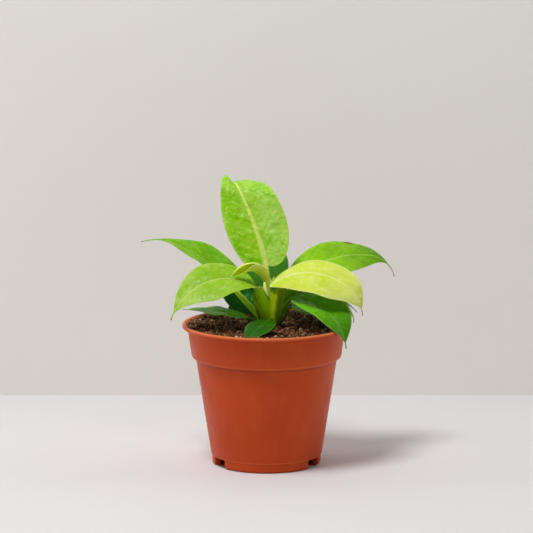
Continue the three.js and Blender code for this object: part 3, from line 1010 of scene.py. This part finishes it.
    def blade_point(self, share: float, across: float, raised: float) -> Vector:
        """Finds a point of the blade.

        Args:
            share: how far along the blade, from 0 to 1.
            across: the place across it, from -1 to 1.
            raised: the height above the blade's middle layer, in mm.

        Returns:
            The point in mm.
        """
        distance = self.reach() + share * self.blade
        frame = self.frame_at(distance)
        hand = -1.0 if across < 0.0 else 1.0
        off = abs(across)
        width, half = self.half_at(share, across)
        fold = math.radians(along(self.fold, share))
        curl = math.radians(along(self.droop, share))
        angle = fold - curl * off
        phase = self.wave_starts[1 if hand > 0.0 else 0]
        ripple = math.sin(self.waves * math.pi * share + phase) * math.sin(math.pi * share)
        lifted = raised + self.relief(share, across, half)
        out = half / curl * (math.sin(fold) - math.sin(angle)) - lifted * math.sin(angle)
        up = half / curl * (math.cos(angle) - math.cos(fold)) + lifted * math.cos(angle)
        up += self.wave * off * off * ripple
        back = self.lobe * off * off * width * (1.0 - share) ** 5
        point = self.line_at(distance) + frame.side * (hand * out) + frame.normal * up
        return self.bent(point - frame.forward * back, across)

    def blade_place(self, u: float, s: float, under: bool) -> Placed:
        """Places a point of the blade's skin.

        Args:
            u: the share across.
            s: the share along, which is closer set at both ends.
            under: whether the point is on the underside.

        Returns:
            The point in mm and its two UV pairs.
        """
        share = mix(s, 0.5 * (1.0 - math.cos(math.pi * s)), 0.55)
        across = 2.0 * u - 1.0
        half = self.half_at(share, across)[1]
        raised = self.thickness / 2.0 * mix(1.0, 0.45, abs(across) ** 4)
        if under:
            keel = bump_at(abs(across) * half, 0.0, 0.9 - 0.5 * share)
            raised = -raised - self.rib * (1.0 - share) * keel
        point = self.blade_point(share, across, raised)
        return point, (u, share), (across * half / 100.0, share * self.blade / 100.0)

    def routed(self, u: float, s: float) -> Placed:
        """Places a point of a stalk that takes its own way up through the crown.

        Args:
            u: the share round.
            s: the share along.

        Returns:
            The point in mm and its two UV pairs.
        """
        first, second, third = (Vector(p) for p in self.route or ())
        lead = self.frame_at(self.reach() + self.joint)
        last = self.line_at(self.reach() + self.joint) - lead.normal * (0.25 * self.joint)
        t, back = s, 1.0 - s
        centre = first * back**3 + second * (3 * back * back * t) + third * (3 * back * t * t) + last * t**3
        ahead = (second - first) * (3 * back * back) + (third - second) * (6 * back * t)
        ahead += (last - third) * (3 * t * t)
        ahead.normalize()
        side = lead.side - ahead * lead.side.dot(ahead)
        side.normalize()
        normal = side.cross(ahead)
        turn = 2.0 * math.pi * u
        radius = mix(self.route_radius[0], self.route_radius[1], s)
        wide = radius * mix(self.base_width, 1.0, smooth(s * 1.3))
        point = centre + side * (math.cos(turn) * wide) + normal * (math.sin(turn) * radius)
        return point, (u, s), (u * 0.12, s * 0.3)

    def stalk_place(self, u: float, s: float) -> Placed:
        """Places a point of the stalk, from below the soil to the start of the midrib.

        Args:
            u: the share round.
            s: the share along.

        Returns:
            The point in mm and its two UV pairs.
        """
        start, end = -self.buried, self.reach() + min(10.0, self.blade * 0.3)
        distance = mix(start, end, s)
        low = clamp01(-distance / -start) if distance < 0.0 else 0.0
        share = clamp01(distance / self.reach())
        tail = clamp01((distance - self.reach()) / (end - self.reach()))
        radius = mix(mix(self.stalk.radius[0], self.stalk.radius[1], share), 0.3, tail)
        frame = self.frame_at(max(distance, 0.0))
        centre = self.line_at(distance)
        if distance < 0.0:
            stem_x, stem_y = self.stem
            inward = Vector((self.foot[0] - stem_x, self.foot[1] - stem_y, 0.0))
            pull = inward.normalized() * self.root if inward.length > 0.1 else Vector()
            base = Vector((stem_x, stem_y, self.foot[2] + start)) + pull
            handle = Vector(self.foot) + frame.forward * (0.35 * start)
            t = -distance / -start
            centre = Vector(self.foot) * (1 - t) ** 2 + handle * (2 * t * (1 - t)) + base * (t * t)
        turn = 2.0 * math.pi * u
        wide = radius * mix(1.0, self.base_width, smooth(low * 1.3))
        dent = 0.22 * bump_at((turn - math.pi / 2.0 + math.pi) % (2.0 * math.pi) - math.pi, 0.0, 0.6)
        under = self.stalk.radius[1] * 0.5 * smooth(share) if distance <= self.reach() else radius * 0.5
        x, y = math.cos(turn) * wide, math.sin(turn) * radius * (1.0 - dent * smooth(share * 2.0)) - under
        point = centre + frame.side * x + frame.normal * y
        return point, (u, s), (u * 0.12, distance / 100.0)

    def build(self) -> bpy.types.Object:
        """Makes the leaf.

        Returns:
            The leaf's piece, which stands for its solid.
        """
        self.trace()
        skin = Skin()
        skin.shell(self.mesh[0], self.mesh[1], self.blade_place)
        stalk = skin.tube(28, 60, self.routed if self.route else self.stalk_place)
        skin.mark(stalk, petiole=1.0)
        skin.shade(stalk, *self.shade)
        made = piece(skin.bm, self.name, self.green.value.make())
        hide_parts(self.node)
        report(made, "blade and stalk")
        return made


def leaves() -> list[Leaf]:
    """Lists the plant's leaves, from the top one round to the small one in front.

    Returns:
        The leaves, not built yet.
    """
    return [
        Leaf(
            "top_leaf", "leaf_top", Greens.TOP, (2.1, 5, 95), Stalk(25, 140, (88, 84), (1.7, 1.5)), 84,
            (122, 143, 128), (69, 61, 56), (34, 55, 52), (18.2, 20.6), (8, 13, 26), (8, 12, 30),
            bend=Bend(165, 0.532, -28, 4.6), widest=0.38, round=0.5, taper=1.35, lobe=9, pucker=0.3,
            mesh=(80, 150),
        ),
        Leaf(
            "upper_left_leaf", "leaf_left_high", Greens.MID, (-3, 3.6, 93),
            Stalk(18, 157, (44, 46), (2.2, 1.7)), 73,
            (162, 168, 176), (46, 29, 2), (8, 8, 8), (17, 17.5), (18, 18, 10),
            bend=Bend(24, 0.76), widest=0.38, round=0.5, tail=0.16, lobe=4,
        ),
        Leaf(
            "arching_left_leaf", "leaf_left_arching", Greens.BRIGHT, (-3.8, -2.8, 96.8),
            Stalk(12, 196, (90, 86), (2.3, 1.8)), 69,
            (196, 203, 206), (36, -17, -65), (14, 29, 24), (19, 15), (26, 12, 6), (14, 18, 14),
            bend=Bend(10, 0.84), taper=1.4, lobe=3,
            route=((2.4, -0.8, 86), (2.4, -0.8, 111), (1.5, -1.6, 114.6)), route_radius=(1.8, 0.75),
        ),
        Leaf(
            "unfurling_leaf", "leaf_unfurling", Greens.YELLOW, (3, 1, 95),
            Stalk(16, 195, (88, 86), (1.5, 1.4)), 30,
            (196, 204, 212), (58, 13, -46), (10, 52, 104), (8.6, 8.6), (20, 20, 20), (-158, -132, -44),
            widest=0.52, round=0.45, taper=1, wave=0, pucker=0.1, quilt=0, groove=0.1, mesh=(48, 80),
        ),
        Leaf(
            "bright_right_leaf", "leaf_right_bright", Greens.LIME, (-1, -4.4, 95.6),
            Stalk(14, -7, (92, 88), (2.6, 2.1)), 77,
            (-7, -11, -16), (42, -15, -62), (-24, -28, -30), (16.5, 18), (-6, 0, 8), (8, 14, 16),
            bend=Bend(30, 0.69), widest=0.53, round=0.85, taper=1, lobe=2, pucker=0.3,
            route=((4, -4, 86), (5, -5.6, 102), (6.6, -5.6, 111)), route_radius=(2.2, 1.2), joint=7,
        ),
        Leaf(
            "upper_right_leaf", "leaf_right_high", Greens.FADING, (6, 3, 94),
            Stalk(17, 40, (66, 58), (1.7, 1.5)), 82,
            (17, 13, 10), (44, 6, -32), (-26, -26, -24), (17.5, 17.5), (8, 5, 4),
            bend=Bend(46, 0.7), widest=0.45, taper=1.8, tail=0.1, lobe=4, least_half=0.75, mesh=(72, 140),
        ),
        Leaf(
            "drooping_right_leaf", "leaf_right_drooping", Greens.DARK, (4.8, 0, 92),
            Stalk(17, -25, (68, 48), (2.2, 1.8)), 54,
            (-30, -42, -50), (-6, -30, -76), (-18, -14, -4), (16, 11), (14, 14, 10), (12, 16, 10),
            bend=Bend(10, 0.84), lobe=6, round=0.45, mesh=(64, 110),
        ),
        Leaf(
            "low_right_leaf", "leaf_right_low", Greens.FRESH, (4, 2, 89.4),
            Stalk(12, 0, (0, 86), (1.1, 1)), 47,
            (4, 4, 4), (2, -4, -14), (-24, -20, -12), (10.5, 11.5), (12, 8, 5),
            bend=Bend(86, 0.68), lobe=1, taper=1, tail=0.03, base_width=1, least_half=0.6, mesh=(44, 90),
        ),
        Leaf(
            "back_right_leaf", "leaf_right_back", Greens.DEEP, (6, 5.3, 92),
            Stalk(8, 32, (50, 45), (1.4, 1.2)), 50,
            (28, 20, 15), (18, -8, -50), (-10, -10, -10), (12, 12), (12, 8, 5),
            lobe=1, taper=1, mesh=(48, 90),
        ),
        Leaf(
            "back_leaf", "leaf_back", Greens.BACK, (0, 7, 94), Stalk(7, 85, (60, 60), (1.5, 1.3)), 48,
            (90, 92, 94), (64, 60, 30), (0, 0, 0), (13.5, 13.5), widest=0.45, mesh=(48, 90),
        ),
        Leaf(
            "back_left_leaf", "leaf_left_back", Greens.DEEP, (-3, 5, 90),
            Stalk(3.5, 145, (20, 30), (1.5, 1.3)), 42,
            (140, 145, 150), (42, 48, 15), (35, 35, 30), (10, 11), mesh=(44, 80),
        ),
        Leaf(
            "low_left_leaf", "leaf_left_low", Greens.FRESH, (-2, -1, 92),
            Stalk(3.5, 182, (14, 14), (1.3, 1.1)), 42,
            (182, 182, 180), (16, 8, -2), (5, 5, 5), (10, 10), mesh=(44, 80),
        ),
        Leaf(
            "small_front_leaf", "leaf_front_small", Greens.SMALL, (4, -4, 93.4),
            Stalk(3, 252, (30, 10), (1.3, 1.1)), 33,
            (250, 246, 240), (-2, -12, -26), (4, 6, 6), (8.2, 7.8), (8, 6, 4),
            widest=0.44, round=0.42, taper=1.05, tail=0, lobe=1.5, wave=0.2, pucker=0.12, mesh=(44, 70),
        ),
    ]


# The crown that the stalks rise from


@dataclass(frozen=True)
class Sheath:
    """A thin leaf base that wraps part of the crown and runs out to a point."""

    base: Triple
    middle: Triple
    tip: Triple
    half: Triple
    facing: float
    wrap: float
    tone: float
    point: float = 0.3
    rim: float = 1.0
    thickness: float = 0.7

    def place(self, u: float, s: float, under: bool) -> Placed:
        """Places a point of the sheath.

        Args:
            u: the share across.
            s: the share along.
            under: whether the point is on the inner side.

        Returns:
            The point in mm and its two UV pairs.
        """
        centre = Vector(along((self.base[i], self.middle[i], self.tip[i]), s) for i in range(3))
        out = Vector((math.cos(math.radians(self.facing)), math.sin(math.radians(self.facing)), 0.0))
        side = Vector((-out.y, out.x, 0.0))
        narrow = math.sqrt(max(0.0, 1.0 - clamp01((s - 1.0 + self.point) / self.point) ** 1.6))
        arc = (2.0 * u - 1.0) * (along(self.half, s) * narrow + 0.15)
        turn = arc / self.wrap
        ridge = 0.05 * math.cos(arc * 2.1)
        thin = self.thickness * mix(1.0, 0.3, abs(2.0 * u - 1.0) ** 3)
        radius = self.wrap - (thin if under else -ridge)
        point = centre + side * (math.sin(turn) * radius) + out * (math.cos(turn) * radius - self.wrap)
        return point, (u, s), (arc / 100.0, s * 0.25)


def sheaths() -> list[Sheath]:
    """Lists the leaf bases: those in front, those behind, the pale one that hangs and two small tips.

    Returns:
        The sheaths, not built yet.
    """
    return [
        Sheath((2.4, -4.2, 84), (0, -5.8, 101), (-4.2, -4.6, 114), (2.6, 4.6, 4.4), -96, 9, 0.16, point=0.2),
        Sheath(
            (3.6, -4.6, 84), (4.8, -6.2, 101), (6.4, -4.6, 113.5), (2, 3, 3.4), -88, 6.5, 0.4,
            point=0.1, rim=0.3,
        ),
        Sheath((4.4, -3.8, 84), (7.6, -4.8, 100), (12.4, -2.8, 117), (2, 2.9, 2.8), -72, 7, 0.2),
        Sheath(
            (4, -1.6, 84), (8.8, -1.8, 99), (19, -1, 115), (2, 3.6, 5.8), -75, 12, 0,
            point=0.15, rim=0.4,
        ),
        Sheath((0, 2.5, 84), (-3, 3, 100), (-6, 3.6, 113), (3, 4.6, 4), -95, 9, 0, point=0.2, rim=0),
        Sheath(
            (1.2, -4.4, 86), (-2.6, -4.9, 98), (-7.4, -3.4, 106.4), (1.6, 2.6, 2), -106, 4, 0.3,
            point=0.4,
        ),
        Sheath((0, 4.2, 84), (-0.8, 6.2, 98), (-3.4, 8, 110), (3.2, 4.2, 3.2), 98, 6.5, 0.15),
        Sheath((4.6, 3.8, 84), (6.2, 5.4, 97), (10.6, 6.6, 115), (2.8, 4.2, 3.6), 62, 6.5, 0.3, point=0.2),
        Sheath((-2.2, 1.8, 84), (-4.6, 3, 95), (-8.2, 5, 104), (2.6, 3.2, 2.4), 150, 5.5, 0.2),
        Sheath(
            (-1.2, -4.4, 118.4), (-0.7, -6.6, 114.2), (1.4, -6.8, 109.4), (0.35, 1.05, 0.5), -90, 2, 1,
            point=0.7, rim=0, thickness=0.35,
        ),
        Sheath(
            (4, -2.6, 117.5), (4.2, -3, 119.5), (4.8, -3, 121.6), (0.7, 0.55, 0.4), -90, 1.2, 0.9,
            point=0.8, rim=0, thickness=0.3,
        ),
        Sheath(
            (3, -2.2, 117), (2.8, -2.6, 119), (2.3, -2.6, 120.8), (0.6, 0.5, 0.35), -90, 1.2, 0.85,
            point=0.8, rim=0, thickness=0.3,
        ),
    ]


@dataclass
class Crown:
    """The short fleshy stem with the sheaths that wrap its stalks."""

    x: float = 2.6
    y: float = 0.4
    radius: float = 4.9
    top_radius: float = 4.4
    bottom: float = 74.0
    top: float = 106.0
    tone: float = 0.15
    shade: Pair = (104.0, 17.0)
    finish: SheathFinish = SheathFinish("crown_skin")

    def place(self, u: float, s: float) -> Placed:
        """Places a point of the lobed column.

        Args:
            u: the share round.
            s: the share up.

        Returns:
            The point in mm and its two UV pairs.
        """
        height = mix(self.bottom, self.top, s)
        round_top = math.sqrt(max(0.0, 1.0 - clamp01((s - 0.8) / 0.2) ** 2))
        radius = mix(self.radius, self.top_radius, s) * max(round_top, 0.02)
        turn = 2.0 * math.pi * u
        radius *= 1.0 + 0.10 * math.cos(5.0 * turn + 0.8 + s) + 0.04 * math.cos(9.0 * turn)
        point = Vector((self.x + radius * math.cos(turn), self.y + radius * math.sin(turn), height))
        return point, (u, s), (u * 0.35, height / 100.0)

    def build(self) -> bpy.types.Object:
        """Makes the crown.

        Returns:
            The crown's piece, which stands for the plain stem.
        """
        skin = Skin()
        skin.mark(skin.tube(60, 40, self.place), tone=self.tone)
        for item in sheaths():
            skin.mark(skin.shell(20, 44, item.place), tone=item.tone, rim=item.rim)
        skin.shade(list(skin.bm.verts), *self.shade)
        made = piece(skin.bm, "crown", self.finish.make())
        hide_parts("stem")
        report(made, "lobed crown with its sheaths")
        return made


# Pot and soil


@dataclass(frozen=True)
class Ring:
    """A line round the pot, of painted highlight and wear or of painted shadow, strongest at one height and
    kept between two radii.
    """

    height: float
    reach: float
    inner: float
    outer: float = 60.0
    strength: float = 1.0

    def at(self, radius: float, height: float) -> float:
        """Returns how much of the line shows at a radius and a height."""
        inside = self.inner < radius < self.outer
        return self.strength * bump_at(height, self.height, self.reach) if inside else 0.0


@dataclass
class NurseryPot:
    """The thin moulded pot with its band, its rolled lip, its notched foot and its drain holes."""

    steps: int = 180
    notch_angles: Triple = (-150.0, -30.0, 90.0)
    notch_width: float = 12.5
    notch_height: float = 6.0
    notch_depth: float = 10.0
    notch_circle: float = 33.5
    notch_round: float = 0.8
    drains: int = 6
    drain_radius: float = 3.6
    drain_circle: float = 24.0
    drain_height: float = 7.2
    sharp: float = 38.0
    # painted highlights, with some wear, on the lip, the foot ledge and the top of the band step
    highlight_and_wear: tuple[Ring, ...] = (
        Ring(90.7, 0.9, 51.5), Ring(6.4, 0.35, 34.9, strength=0.7), Ring(70.2, 0.7, 47.0, strength=0.5),
    )
    # painted shadow under the band and under the lip
    painted_shadow_rings: tuple[Ring, ...] = (Ring(68.4, 0.9, 45.0, 46.6), Ring(88.4, 0.7, 50.2, 53.4))
    finish: PlasticFinish = PlasticFinish("terracotta_plastic")

    def profile(self) -> list[Pair]:
        """Lists the outline from the axis under the floor out, up and back down inside.

        Returns:
            The radius and the height of each point, in mm.
        """
        foot = [(0.0, 6.6), (30.7, 6.6), (31.1, 6.0), (31.1, 0.25), (31.35, 0.0), (32.7, 0.0)]
        turn = [(32.7 + 2.3 * math.sin(a), 2.3 - 2.3 * math.cos(a)) for a in (0.4, 0.8, 1.2)]
        ledge = [(35.0, 2.3), (35.0, 5.9), (35.15, 6.25), (35.5, 6.5), (35.75, 6.9)]
        body = [(44.95, 66.0), (45.15, 67.3), (45.5, 68.3)]
        band = [(46.2, 69.0), (47.3, 69.5), (47.9, 70.1), (48.15, 71.0), (50.46, 87.0), (50.6, 88.0)]
        lip = [(50.75, 88.45), (51.1, 88.55), (53.2, 88.55), (53.75, 88.75), (54.0, 89.2), (54.0, 90.2)]
        rolled = [(53.75, 90.7), (53.2, 91.0), (52.4, 91.0), (51.95, 90.75), (51.8, 90.3)]
        inside = [(49.4, 88.2), (46.9, 70.2), (46.0, 68.6), (43.9, 66.2)]
        floor = [(34.9, 10.8), (34.2, 8.8), (33.0, 7.9), (0.0, 7.8)]
        return foot + turn + ledge + body + band + lip + rolled + inside + floor

    def turned(self) -> bmesh.types.BMesh:
        """Spins the outline once round the axis.

        Returns:
            The pot without its notches and holes.
        """
        bm = bmesh.new()
        spun(bm, [bm.verts.new((r * MM, 0.0, z * MM)) for r, z in self.profile()], self.steps)
        return bm

    def cutters(self) -> bpy.types.Object:
        """Makes the blocks for the notches in the foot and the pins for the holes in the floor.

        Returns:
            The object to cut away.
        """
        bm = bmesh.new()
        depth = self.notch_depth * MM
        size = Matrix.Diagonal((depth, self.notch_width * MM, 2.0 * self.notch_height * MM, 1.0))
        for angle in self.notch_angles:
            turn = Matrix.Rotation(math.radians(angle), 4, "Z")
            spot = turn @ Matrix.Translation((self.notch_circle * MM, 0, 0))
            block = set(bmesh.ops.create_cube(bm, size=1.0, matrix=spot @ size)["verts"])
            upper = [e for e in bm.edges if e.verts[0] in block and min(v.co.z for v in e.verts) > 0]
            long = [e for e in upper if abs(e.calc_length() - depth) < 1e-5]
            bmesh.ops.bevel(
                bm, geom=long, offset=self.notch_round * MM, segments=4, profile=0.5, affect="EDGES",
                material=-1,
            )
        for i in range(self.drains):
            turn = Matrix.Rotation(2 * math.pi * (i + 0.5) / self.drains, 4, "Z")
            spot = turn @ Matrix.Translation((self.drain_circle * MM, 0, self.drain_height * MM))
            radius = self.drain_radius * MM
            bmesh.ops.create_cone(
                bm, cap_ends=True, segments=40, radius1=radius, radius2=radius, depth=6.0 * MM, matrix=spot
            )
        return added(bm, "cutters")

    def settle(self, mesh: bpy.types.Mesh) -> None:
        """Marks the sharp edges, the lines of painted highlight and wear, and the lines of painted shadow
        under the band and the lip.

        Args:
            mesh: the pot's mesh.
        """
        bm = bmesh.new()
        bm.from_mesh(mesh)
        bmesh.ops.dissolve_degenerate(bm, edges=bm.edges, dist=1e-6)
        edge, painted_shadow = bm.verts.layers.float.new("edge"), bm.verts.layers.float.new("painted_shadow")
        for face in bm.faces:
            face.smooth = True
        for item in bm.edges:
            if len(item.link_faces) == 2:
                item.smooth = item.calc_face_angle(0.0) < math.radians(self.sharp)
        for vert in bm.verts:
            radius, height = math.hypot(vert.co.x, vert.co.y) / MM, vert.co.z / MM
            # edge holds painted highlight with some wear, the other layer painted shadow
            vert[edge] = max(ring.at(radius, height) for ring in self.highlight_and_wear)
            vert[painted_shadow] = max(ring.at(radius, height) for ring in self.painted_shadow_rings)
        bm.to_mesh(mesh)
        bm.free()

    def build(self) -> bpy.types.Object:
        """Makes the pot.

        Returns:
            The pot's piece, which stands for its solid.
        """
        made = piece(self.turned(), "pot", self.finish.make())
        cutters = self.cutters()
        cut = made.modifiers.new("cut", "BOOLEAN")
        cut.operation, cut.object, cut.solver = "DIFFERENCE", cutters, "EXACT"
        graph = bpy.context.evaluated_depsgraph_get()
        mesh = bpy.data.meshes.new_from_object(made.evaluated_get(graph))
        made.modifiers.clear()
        made.data = mesh
        bpy.data.objects.remove(cutters)
        self.settle(mesh)
        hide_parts("nursery_pot")
        report(made, "moulded pot")
        return made


@dataclass
class PottingSoil:
    """Loose potting mix: a rough bed with crumbs, fibres and a few clods."""

    top: float = 87.3
    bank: float = 2.7
    radius: float = 50.5
    bottom_radius: float = 47.2
    bottom: float = 78.0
    relief: float = 0.7
    roughness: float = 0.85
    rings: int = 90
    steps: int = 180
    crumbs: int = 6400
    batches: int = 80
    seed: int = 11
    fine: Pair = (0.3, 0.75)
    coarse: Pair = (0.75, 1.5)
    fibre: Pair = (0.25, 0.4)
    fine_share: float = 0.8
    fibre_share: float = 0.08
    pile: tuple[tuple[float, float, float, float], ...] = (
        (-28.5, 33.2, 89.4, 3.4), (-23.5, 36.6, 89.8, 3.8), (-28.0, 34.2, 92.2, 2.6),
        (-22.4, 37.4, 92.8, 2.8), (-17.5, 39.4, 91.2, 3.2), (-12.0, 40.8, 89.6, 3.0),
        (-33.0, 29.0, 88.8, 2.8),
    )
    finish: SoilFinish = SoilFinish("potting_mix")

    def height(self, x: float, y: float) -> float:
        """Works out the bed's height, which rolls a little and banks up towards the wall.

        Args:
            x: the place to the right, in mm.
            y: the place towards the back, in mm.

        Returns:
            The height in mm.
        """
        rolling = math.sin(0.11 * x + 1.3) * math.cos(0.13 * y - 0.4)
        rolling += 0.6 * math.sin(0.37 * x - 0.21 * y + 2.1) + 0.4 * math.cos(0.29 * y + 0.33 * x)
        rough = noise.fractal(Vector((x / 2.6, y / 2.6, 3.0)), 0.8, 2.1, 4)
        r = math.hypot(x, y)
        edge = smooth((r - 43.0) / 7.0)
        behind = 0.9 * self.bank * smooth((r - 26.0) / 18.0) * smooth((y + 20.0) / 50.0)
        uneven = (self.relief * rolling + self.roughness * rough) * mix(1.0, 0.4, edge)
        return self.top + max(self.bank * edge, behind) + uneven

    def bed(self) -> bmesh.types.BMesh:
        """Spins a rough disc and closes it below.

        Returns:
            The bed's mesh.
        """
        bm = bmesh.new()
        tint = bm.verts.layers.float.new("tint")
        line = [bm.verts.new((self.radius * i / self.rings * MM, 0.0, 0.0)) for i in range(self.rings + 1)]
        line.append(bm.verts.new((self.bottom_radius * MM, 0.0, -1.0)))
        line.append(bm.verts.new((0.0, 0.0, -1.0)))
        spun(bm, line, self.steps)
        bmesh.ops.recalc_face_normals(bm, faces=bm.faces)
        for vert in bm.verts:
            x, y = vert.co.x / MM, vert.co.y / MM
            vert.co.z = self.bottom * MM if vert.co.z < -0.5 else self.height(x, y) * MM
            vert[tint] = 0.30 + 0.5 * noise.noise(Vector((x / 1.7, y / 1.7, 9.0)))
        return bm

    def crumb(self, bm: bmesh.types.BMesh, tint: bmesh.types.BMLayerItem, rng: random.Random) -> None:
        """Adds one crumb, chip or fibre at a random place on the bed, with a tint of its own.

        Args:
            bm: the mesh to add to.
            tint: its layer of tints.
            rng: the source of the random draws.
        """
        r, a = (self.radius - 1.0) * math.sqrt(rng.random()), rng.uniform(0, 2 * math.pi)
        x, y = r * math.cos(a), r * math.sin(a)
        kind = rng.random()
        size = rng.uniform(*self.fine) if kind < self.fine_share else rng.uniform(*self.coarse)
        shape = [rng.uniform(0.55, 1.25) for _ in range(3)]
        if kind > 1.0 - self.fibre_share:
            size, shape = rng.uniform(*self.fibre), [rng.uniform(4.0, 9.0), 0.7, 0.6]
        level = self.height(x, y) + size * rng.uniform(-0.1, 0.8)
        turn = Matrix.Rotation(rng.uniform(0, 6.283), 4, "Z")
        turn = turn @ Matrix.Rotation(rng.uniform(-0.5, 0.5), 4, "Y")
        turn = turn @ Matrix.Rotation(rng.uniform(0, 6.283), 4, "X")
        stretch = Matrix.Diagonal((*[s * size * MM for s in shape], 1.0))
        matrix = Matrix.Translation(Vector((x, y, level)) * MM) @ turn @ stretch
        verts = bmesh.ops.create_icosphere(bm, subdivisions=1, radius=1.0, matrix=matrix)["verts"]
        shade = rng.random() ** 1.15
        for vert in verts:
            vert[tint] = shade
            vert.co += Vector([rng.uniform(-0.16, 0.16) * size * MM for _ in range(3)])

    def clods(self, bm: bmesh.types.BMesh, tint: bmesh.types.BMLayerItem) -> None:
        """Piles a few dark clods against the back of the rim.

        Args:
            bm: the mesh to add to.
            tint: its layer of tints.
        """
        for x, y, z, size in self.pile:
            made = bmesh.ops.create_icosphere(bm, subdivisions=4, radius=size * MM)["verts"]
            for vert in made:
                where = vert.co / MM
                rough = 1.0 + 0.28 * noise.fractal(where * 0.55 + Vector((x, y, z)), 0.8, 2.1, 4)
                vert.co = (Vector((x, y, z)) + where * rough) * MM
                vert[tint] = 0.22 + 0.3 * noise.noise(where * 1.3)

    def build(self) -> bpy.types.Object:
        """Makes the soil, with its crumbs in batches, because small meshes grow faster.

        Returns:
            The soil's piece, which stands for its solid.
        """
        whole = self.bed()
        rng = random.Random(self.seed)
        part = bpy.data.meshes.new("crumbs")
        for batch in range(self.batches + 1):
            bm = bmesh.new()
            tint = bm.verts.layers.float.new("tint")
            if batch == self.batches:
                self.clods(bm, tint)
            else:
                for _ in range(self.crumbs // self.batches):
                    self.crumb(bm, tint, rng)
            bm.to_mesh(part)
            bm.free()
            whole.from_mesh(part)
        bpy.data.meshes.remove(part)
        made = piece(whole, "soil", self.finish.make(), recalc=False)
        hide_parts("potting_soil")
        report(made, "bed, crumbs and fibres")
        return made


# Studio


@dataclass(frozen=True)
class Lamp:
    """A soft round light: its place and its width in metres, and its power in watts."""

    name: str
    place: Triple
    width: float
    power: float


@dataclass
class Studio:
    """The pale floor and backdrop, the soft light and the camera."""

    wall_back: float = 207.0
    elevation: float = 9.6
    distance: float = 2000.0
    target_height: float = 127.7
    lens: float = 211.4
    sensor: float = 36.0
    sheet_half: float = 6.0
    floor: StageFinish = StageFinish("floor_paper", "e2e0e1")
    # the backdrop glows a little: painted light in place of a lamp on the wall, which also lights the plant
    # from behind
    wall: StageFinish = StageFinish("wall_paint", "e9e5e0", one_sided=True, glow=0.11)
    sky_from: Pair = (-0.1, 0.8)
    sky_light: Pair = (0.12, 0.19)
    key_power: float = 13.6
    key_width: float = 0.45
    key_turn: float = 53.0
    key_height: float = 68.0
    key_distance: float = 1.5
    lit_height: float = 0.08
    panels: tuple[Lamp, ...] = (
        Lamp("right_panel", (1.05, 0.06, 0.72), 0.2, 0.9),
        Lamp("left_panel", (-1.15, 0.10, 0.42), 0.3, 0.9),
    )

    def plane(self, name: str, matrix: Matrix, finish: StageFinish) -> bpy.types.Object:
        """Adds a large flat sheet of the stage.

        Args:
            name: the sheet's name.
            matrix: its place and turn.
            finish: its finish.

        Returns:
            The new sheet.
        """
        bm = bmesh.new()
        bmesh.ops.create_grid(bm, x_segments=1, y_segments=1, size=self.sheet_half, matrix=matrix)
        made = added(bm, name, finish.make())
        return made

    def key(self) -> Lamp:
        """Returns the main light, which hangs high at the front left."""
        turn, rise = math.radians(self.key_turn), math.radians(self.key_height)
        level = math.cos(rise)
        way = Vector((-math.cos(turn) * level, -math.sin(turn) * level, math.sin(rise)))
        return Lamp("key", tuple(way * self.key_distance), self.key_width, self.key_power)

    def light(self, lamp: Lamp) -> None:
        """Adds a light that faces the plant.

        Args:
            lamp: the light's sizes.
        """
        data = bpy.data.lights.new(lamp.name, "AREA")
        data.size, data.energy, data.shape = lamp.width, lamp.power, "DISK"
        made = bpy.data.objects.new(lamp.name, data)
        made.location = lamp.place
        towards = Vector((0, 0, self.lit_height)) - Vector(lamp.place)
        made.rotation_euler = towards.to_track_quat("-Z", "Y").to_euler()
        bpy.context.scene.collection.objects.link(made)

    def sky(self) -> None:
        """Lights the stage from all round, more from above than from the sides."""
        world = bpy.data.worlds.new("studio")
        world.use_nodes = True
        tree = world.node_tree
        way = tree.nodes.new("ShaderNodeTexCoord")
        parts = tree.nodes.new("ShaderNodeSeparateXYZ")
        rising = tree.nodes.new("ShaderNodeMapRange")
        rising.interpolation_type = "SMOOTHSTEP"
        ends = (*self.sky_from, *self.sky_light)
        for name, value in zip(("From Min", "From Max", "To Min", "To Max"), ends):
            rising.inputs[name].default_value = value
        tree.links.new(way.outputs["Generated"], parts.inputs[0])
        tree.links.new(parts.outputs[2], rising.inputs["Value"])
        tree.nodes["Background"].inputs[0].default_value = (1.0, 1.0, 1.0, 1.0)
        tree.links.new(rising.outputs[0], tree.nodes["Background"].inputs[1])
        bpy.context.scene.world = world

    def camera(self) -> None:
        """Sets up the camera at the photograph's angle."""
        data = bpy.data.cameras.new("camera")
        data.lens, data.sensor_width = self.lens, self.sensor
        made = bpy.data.objects.new("camera", data)
        tilt = math.radians(self.elevation)
        back = Vector((0.0, -math.cos(tilt), math.sin(tilt))) * self.distance
        made.location = (Vector((0, 0, self.target_height)) + back) * MM
        made.rotation_euler = (math.radians(90) - tilt, 0.0, 0.0)
        bpy.context.scene.collection.objects.link(made)
        bpy.context.scene.camera = made

    def build(self) -> None:
        """Makes the stage, the lights, the world and the camera."""
        self.plane("floor", Matrix.Identity(4), self.floor)
        upright = Matrix.Translation((0, self.wall_back * MM, 0)) @ Matrix.Rotation(math.radians(90), 4, "X")
        self.plane("backdrop", upright, self.wall)
        for lamp in (self.key(), *self.panels):
            self.light(lamp)
        self.sky()
        bpy.context.scene.view_settings.view_transform = "Standard"
        self.camera()


def main() -> None:
    """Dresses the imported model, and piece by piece."""
    logging.basicConfig(level=logging.INFO, format="%(name)s: %(message)s")
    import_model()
    Studio().build()
    NurseryPot().build()
    PottingSoil().build()
    Crown().build()
    for leaf in leaves():
        leaf.build()


if __name__ == "__main__":
    main()
